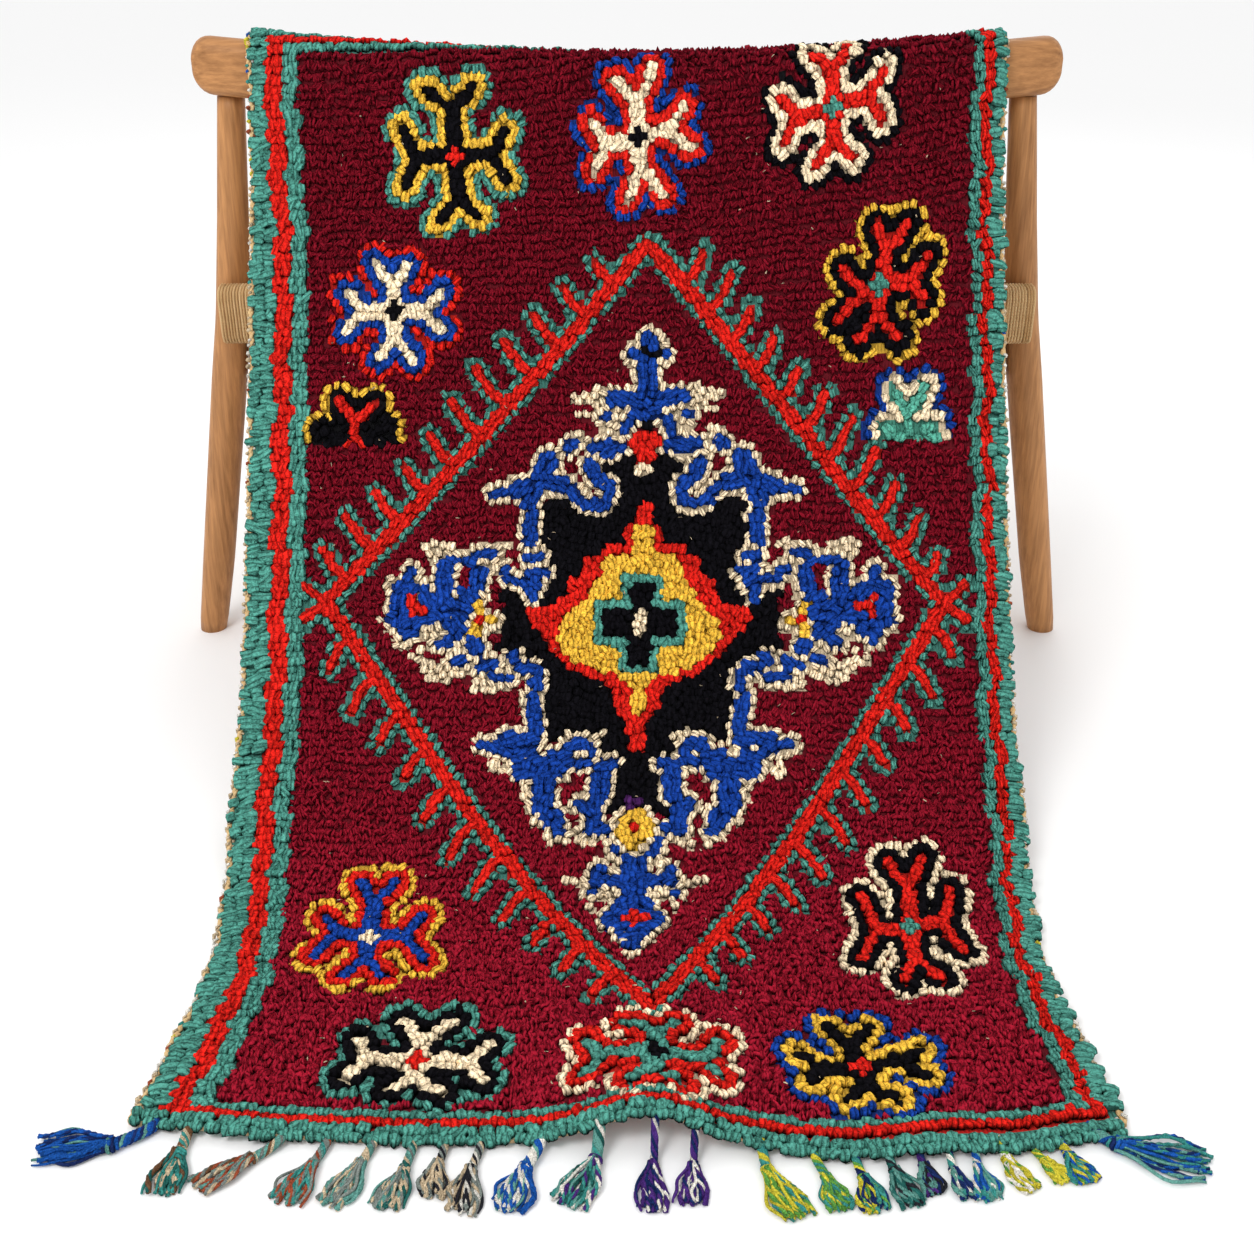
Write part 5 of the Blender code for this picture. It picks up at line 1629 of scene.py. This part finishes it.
# ---- chair ---------------------------------------------------------------
def loft(rings):
    """Points and faces through closed rings, capped at both ends."""
    return np.concatenate(rings), ring_faces(len(rings), len(rings[0]))


def rounded_section(half_wide, half_tall, top_round, low_round, steps=8):
    """A section with its own rounding above and below, as (sideways, up) pairs."""
    outline = []
    for side, level, start, radius in ((1, 1, 0, top_round), (-1, 1, 90, top_round),
                                       (-1, -1, 180, low_round), (1, -1, 270, low_round)):
        for step in range(steps + 1):
            turn = math.radians(start + 90.0 * step / steps)
            outline.append((side * (half_wide - radius) + radius * math.cos(turn),
                            level * (half_tall - radius) + radius * math.sin(turn)))
    return np.array(outline)


def make_crest_rail(material):
    """The bowed rail that the rug hangs over, rounded at its ends."""
    section = rounded_section(RAIL_THICK / 2.0, RAIL_TALL / 2.0, RAIL_THICK / 2.0 - 0.001, 0.012)
    straight = RAIL_HALF_SPAN - RAIL_END_ROUND
    stations = [(x, 1.0) for x in np.linspace(-straight, straight, 73)]
    corner = RAIL_END_ROUND / (RAIL_TALL / 2.0)
    for turn in np.radians((15.0, 30.0, 45.0, 60.0, 72.0, 82.0)):
        out = RAIL_END_ROUND * math.sin(turn)
        scale = 1.0 - corner * (1.0 - math.cos(turn))
        stations.append((straight + out, scale))
        stations.insert(0, (-straight - out, scale))
    rings = []
    for x, scale in stations:
        middle_z = RAIL_TOP - float(rail_dip(x)) - RAIL_TALL / 2.0
        y = LEG_Y - float(rail_bow(x))
        rings.append(np.array([(x, y + a * (0.55 + 0.45 * scale), middle_z + b * scale)
                               for a, b in section]))
    points, faces = loft(rings)
    piece = add_piece("chair_crest_rail", points, faces, [material])
    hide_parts("crest_rail")
    return piece


LEG_SIDES = 28


def make_leg(name, node, table, side, y, material):
    """A turned leg; the foot's edge is eased."""
    heights = np.array([row[0] for row in table])
    dense = np.linspace(heights[0], heights[-1], 40)
    spreads = np.interp(dense, heights, [row[1] for row in table])
    widths = np.interp(dense, heights, [row[2] for row in table])
    foot = smooth_step(dense / 0.006)
    rings = []
    for height, spread, width, ease in zip(dense, spreads, widths, foot):
        turn = np.linspace(0.0, 2.0 * math.pi, LEG_SIDES, endpoint=False)
        radius = width / 2.0 * (0.94 + 0.06 * ease)
        rings.append(np.stack([side * spread + radius * np.cos(turn), y + radius * np.sin(turn),
                               np.full(LEG_SIDES, height)], axis=1))
    points, faces = loft(rings)
    piece = add_piece(name, points, faces, [material])
    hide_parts(node)
    return piece


def make_legs(material):
    spread, width = REAR_LEG_TOP
    under = RAIL_TOP - float(rail_dip(spread - width / 2.0)) - RAIL_TALL - LEG_GAP
    rear = REAR_LEG + ((under, spread, width),)
    for word, side in (("left", -1.0), ("right", 1.0)):
        make_leg(f"chair_rear_leg_{word}", f"rear_leg_{word}", rear, side, LEG_Y, material)
        make_leg(f"chair_front_leg_{word}", f"front_leg_{word}", FRONT_LEG, side,
                 LEG_Y + SEAT_DEPTH, material)


CORD_WIDE = 0.0036
CORD_CORNER = 0.0122         # rounding of the wound rails


def wind_rail(node, material):
    """Cord wound round and round a seat rail, turn against turn."""
    low, high = [np.array(corner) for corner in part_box(node)]
    middle = (low + high) / 2.0
    size = high - low
    axis = 0 if size[0] > size[1] else 1
    other = 1 - axis
    half = CORD_WIDE / 2.0
    section = rounded_section(size[other] / 2.0 - half, size[2] / 2.0 - half, CORD_CORNER,
                              CORD_CORNER, 2)
    count = int(size[axis] / CORD_WIDE)
    pitch = size[axis] / count
    slope = np.arange(len(section) + 1) / len(section)
    loop = np.concatenate([section, section[:1]])
    tubes = []
    for k in range(count):
        start = low[axis] + pitch * k
        path = np.zeros((len(loop), 3))
        path[:, axis] = start + pitch * (0.5 + 0.35 * (slope - 0.5)) + rng.normal(0.0, 0.0002)
        path[:, other] = middle[other] + loop[:, 0]
        path[:, 2] = middle[2] + loop[:, 1]
        tubes.append(tube(path, half * rng.uniform(0.98, 1.06), 4))
    piece = add_tubes(f"chair_{node}_cord", tubes, [material])
    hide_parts(node)
    return piece


def seat_sag(u, w):
    """How far the seat hangs down at a place, given from -1 to 1 both ways."""
    return SEAT_SAG * (1.0 - u * u) * (1.0 - w * w)


def make_seat(material):
    """Cord stretched over the seat in four fields that meet along its diagonals."""
    low, high = [np.array(corner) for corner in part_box("seat")]
    middle = (low + high) / 2.0
    half_x, half_y = (high[0] - low[0]) / 2.0, (high[1] - low[1]) / 2.0
    tubes = []
    for axis, half_a, half_b in ((0, half_x, half_y), (1, half_y, half_x)):
        count = int(2.0 * half_b / CORD_WIDE)
        for side in (-1.0, 1.0):
            for k in range(count):
                share = (k + 0.5) / count * 2.0 - 1.0
                if 1.0 - abs(share) < 0.02:
                    continue
                path = []
                for t in np.linspace(1.0, abs(share), 4):
                    place = [0.0, 0.0, high[2] - CORD_WIDE / 2.0 - seat_sag(t, share)]
                    place[axis] = middle[axis] + side * t * (half_a - 0.001)
                    place[1 - axis] = middle[1 - axis] + share * (half_b - CORD_WIDE / 2.0)
                    path.append(place)
                tubes.append(tube(path, CORD_WIDE / 2.0, 5))
    return add_tubes("chair_seat_cord", tubes, [material])


def make_seat_underside(material):
    """The cord's lower layer under the seat."""
    low, high = [np.array(corner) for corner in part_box("seat")]
    cells = 24
    points = []
    for drop in (CORD_WIDE * 0.7, SEAT_THICK):
        for j in range(cells + 1):
            for i in range(cells + 1):
                u, w = i / cells * 2.0 - 1.0, j / cells * 2.0 - 1.0
                points.append((low[0] + (high[0] - low[0]) * i / cells,
                               low[1] + (high[1] - low[1]) * j / cells,
                               high[2] - drop - seat_sag(u, w)))
    side = cells + 1
    count = side * side
    faces = []
    for j in range(cells):
        for i in range(cells):
            a = j * side + i
            faces.append((a, a + 1, a + side + 1, a + side))
            faces.append((a + count, a + side + count, a + side + 1 + count, a + 1 + count))
    rim = grid_rim(side, side)
    for a, b in zip(rim, rim[1:] + rim[:1]):
        faces.append((a, a + count, b + count, b))
    piece = add_piece("chair_seat_underside", points, faces, [material],
                      (("tone", "FLOAT", "POINT", np.full(len(points), 0.6)),))
    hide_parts("seat")
    return piece


def finish_node(node, material):
    """A better finish on a node whose shape stays."""
    piece = bpy.data.objects[node]
    for slot in piece.material_slots:
        slot.material = material


# ---- studio --------------------------------------------------------------
CAMERA_DISTANCE = 1.7735       # in front of the rug's crest
CAMERA_HEIGHT = 0.993
CAMERA_PITCH = 28.0
CAMERA_LENS = 43.92
# name, place, size, power and aim
LIGHTS = (("key_light", (-1.3, -1.9, 2.9), 1.2, 46.0, (0.0, 0.0, 0.4)),
          ("back_light", (0.6, 2.6, 2.6), 2.0, 20.0, (0.0, 0.2, 0.5)))


def make_studio():
    """A pale floor, an even bright sky, two soft lamps and the camera."""
    bpy.ops.mesh.primitive_plane_add(size=60.0, location=(0.0, 0.0, 0.0))
    floor = bpy.context.object
    floor.name = "studio_floor"
    material, _, shader = new_material("studio_floor", 0.85)
    shader.inputs["Base Color"].default_value = (0.93, 0.93, 0.93, 1.0)
    shader.inputs["Specular IOR Level"].default_value = 0.05
    floor.data.materials.append(material)
    camera_data = bpy.data.cameras.new("studio_camera")
    camera_data.lens = CAMERA_LENS
    camera_data.sensor_width = 36.0
    camera = bpy.data.objects.new("studio_camera", camera_data)
    camera.location = (0.0, MIDDLE_Y - CAMERA_DISTANCE, CAMERA_HEIGHT)
    camera.rotation_euler = (math.radians(90.0 - CAMERA_PITCH), 0.0, 0.0)
    bpy.context.scene.collection.objects.link(camera)
    bpy.context.scene.camera = camera
    for name, place, size, power, aim in LIGHTS:
        lamp = bpy.data.lights.new(name, "AREA")
        lamp.size = size
        lamp.energy = power
        light = bpy.data.objects.new(name, lamp)
        light.location = place
        light.rotation_euler = (Vector(aim) - Vector(place)).to_track_quat("-Z", "Y").to_euler()
        bpy.context.scene.collection.objects.link(light)
    world = bpy.data.worlds.new("studio_air")
    world.use_nodes = True
    sky = world.node_tree.nodes["Background"]
    sky.inputs["Color"].default_value = (1.0, 1.0, 1.0, 1.0)
    sky.inputs["Strength"].default_value = 1.0
    bpy.context.scene.world = world
    bpy.context.scene.view_settings.view_transform = "Standard"


def main():
    rows = row_places()
    ground = make_ground(rows)
    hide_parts("rug")
    pile = make_pile(lay_knots(rows))
    pile.append(make_side_pads(rows))
    pile.append(make_end_pads())
    pile.append(make_flecks())
    edge_cord = cord_material("wool_edge_cord", (0.74, 0.55, 0.30), (0.52, 0.27, 0.07), 0.004)
    pile.append(make_selvedges(edge_cord))
    pile.append(make_edge_stitches())
    fringes = make_fringes()
    make_crest_rail(wood_material("waxed_wood_rail", (0.06, 1.0, 1.0)))
    make_legs(wood_material("waxed_wood_leg", (1.0, 1.0, 0.05)))
    # the aprons take a darker copy of the wood: painted shade under the seat
    apron = wood_material("waxed_wood_apron_painted_shade", (0.12, 1.0, 1.0), (0.330, 0.165, 0.070),
                          (0.150, 0.062, 0.024))
    for word in ("rear", "front", "left", "right"):
        finish_node(f"apron_{word}", apron)
    cord = cord_material("paper_cord_twist", (0.740, 0.520, 0.270), (0.460, 0.270, 0.110))
    for word in ("rear", "front", "left", "right"):
        wind_rail(f"seat_rail_{word}", cord)
    make_seat_underside(cord)
    make_seat(cord)
    make_studio()


main()
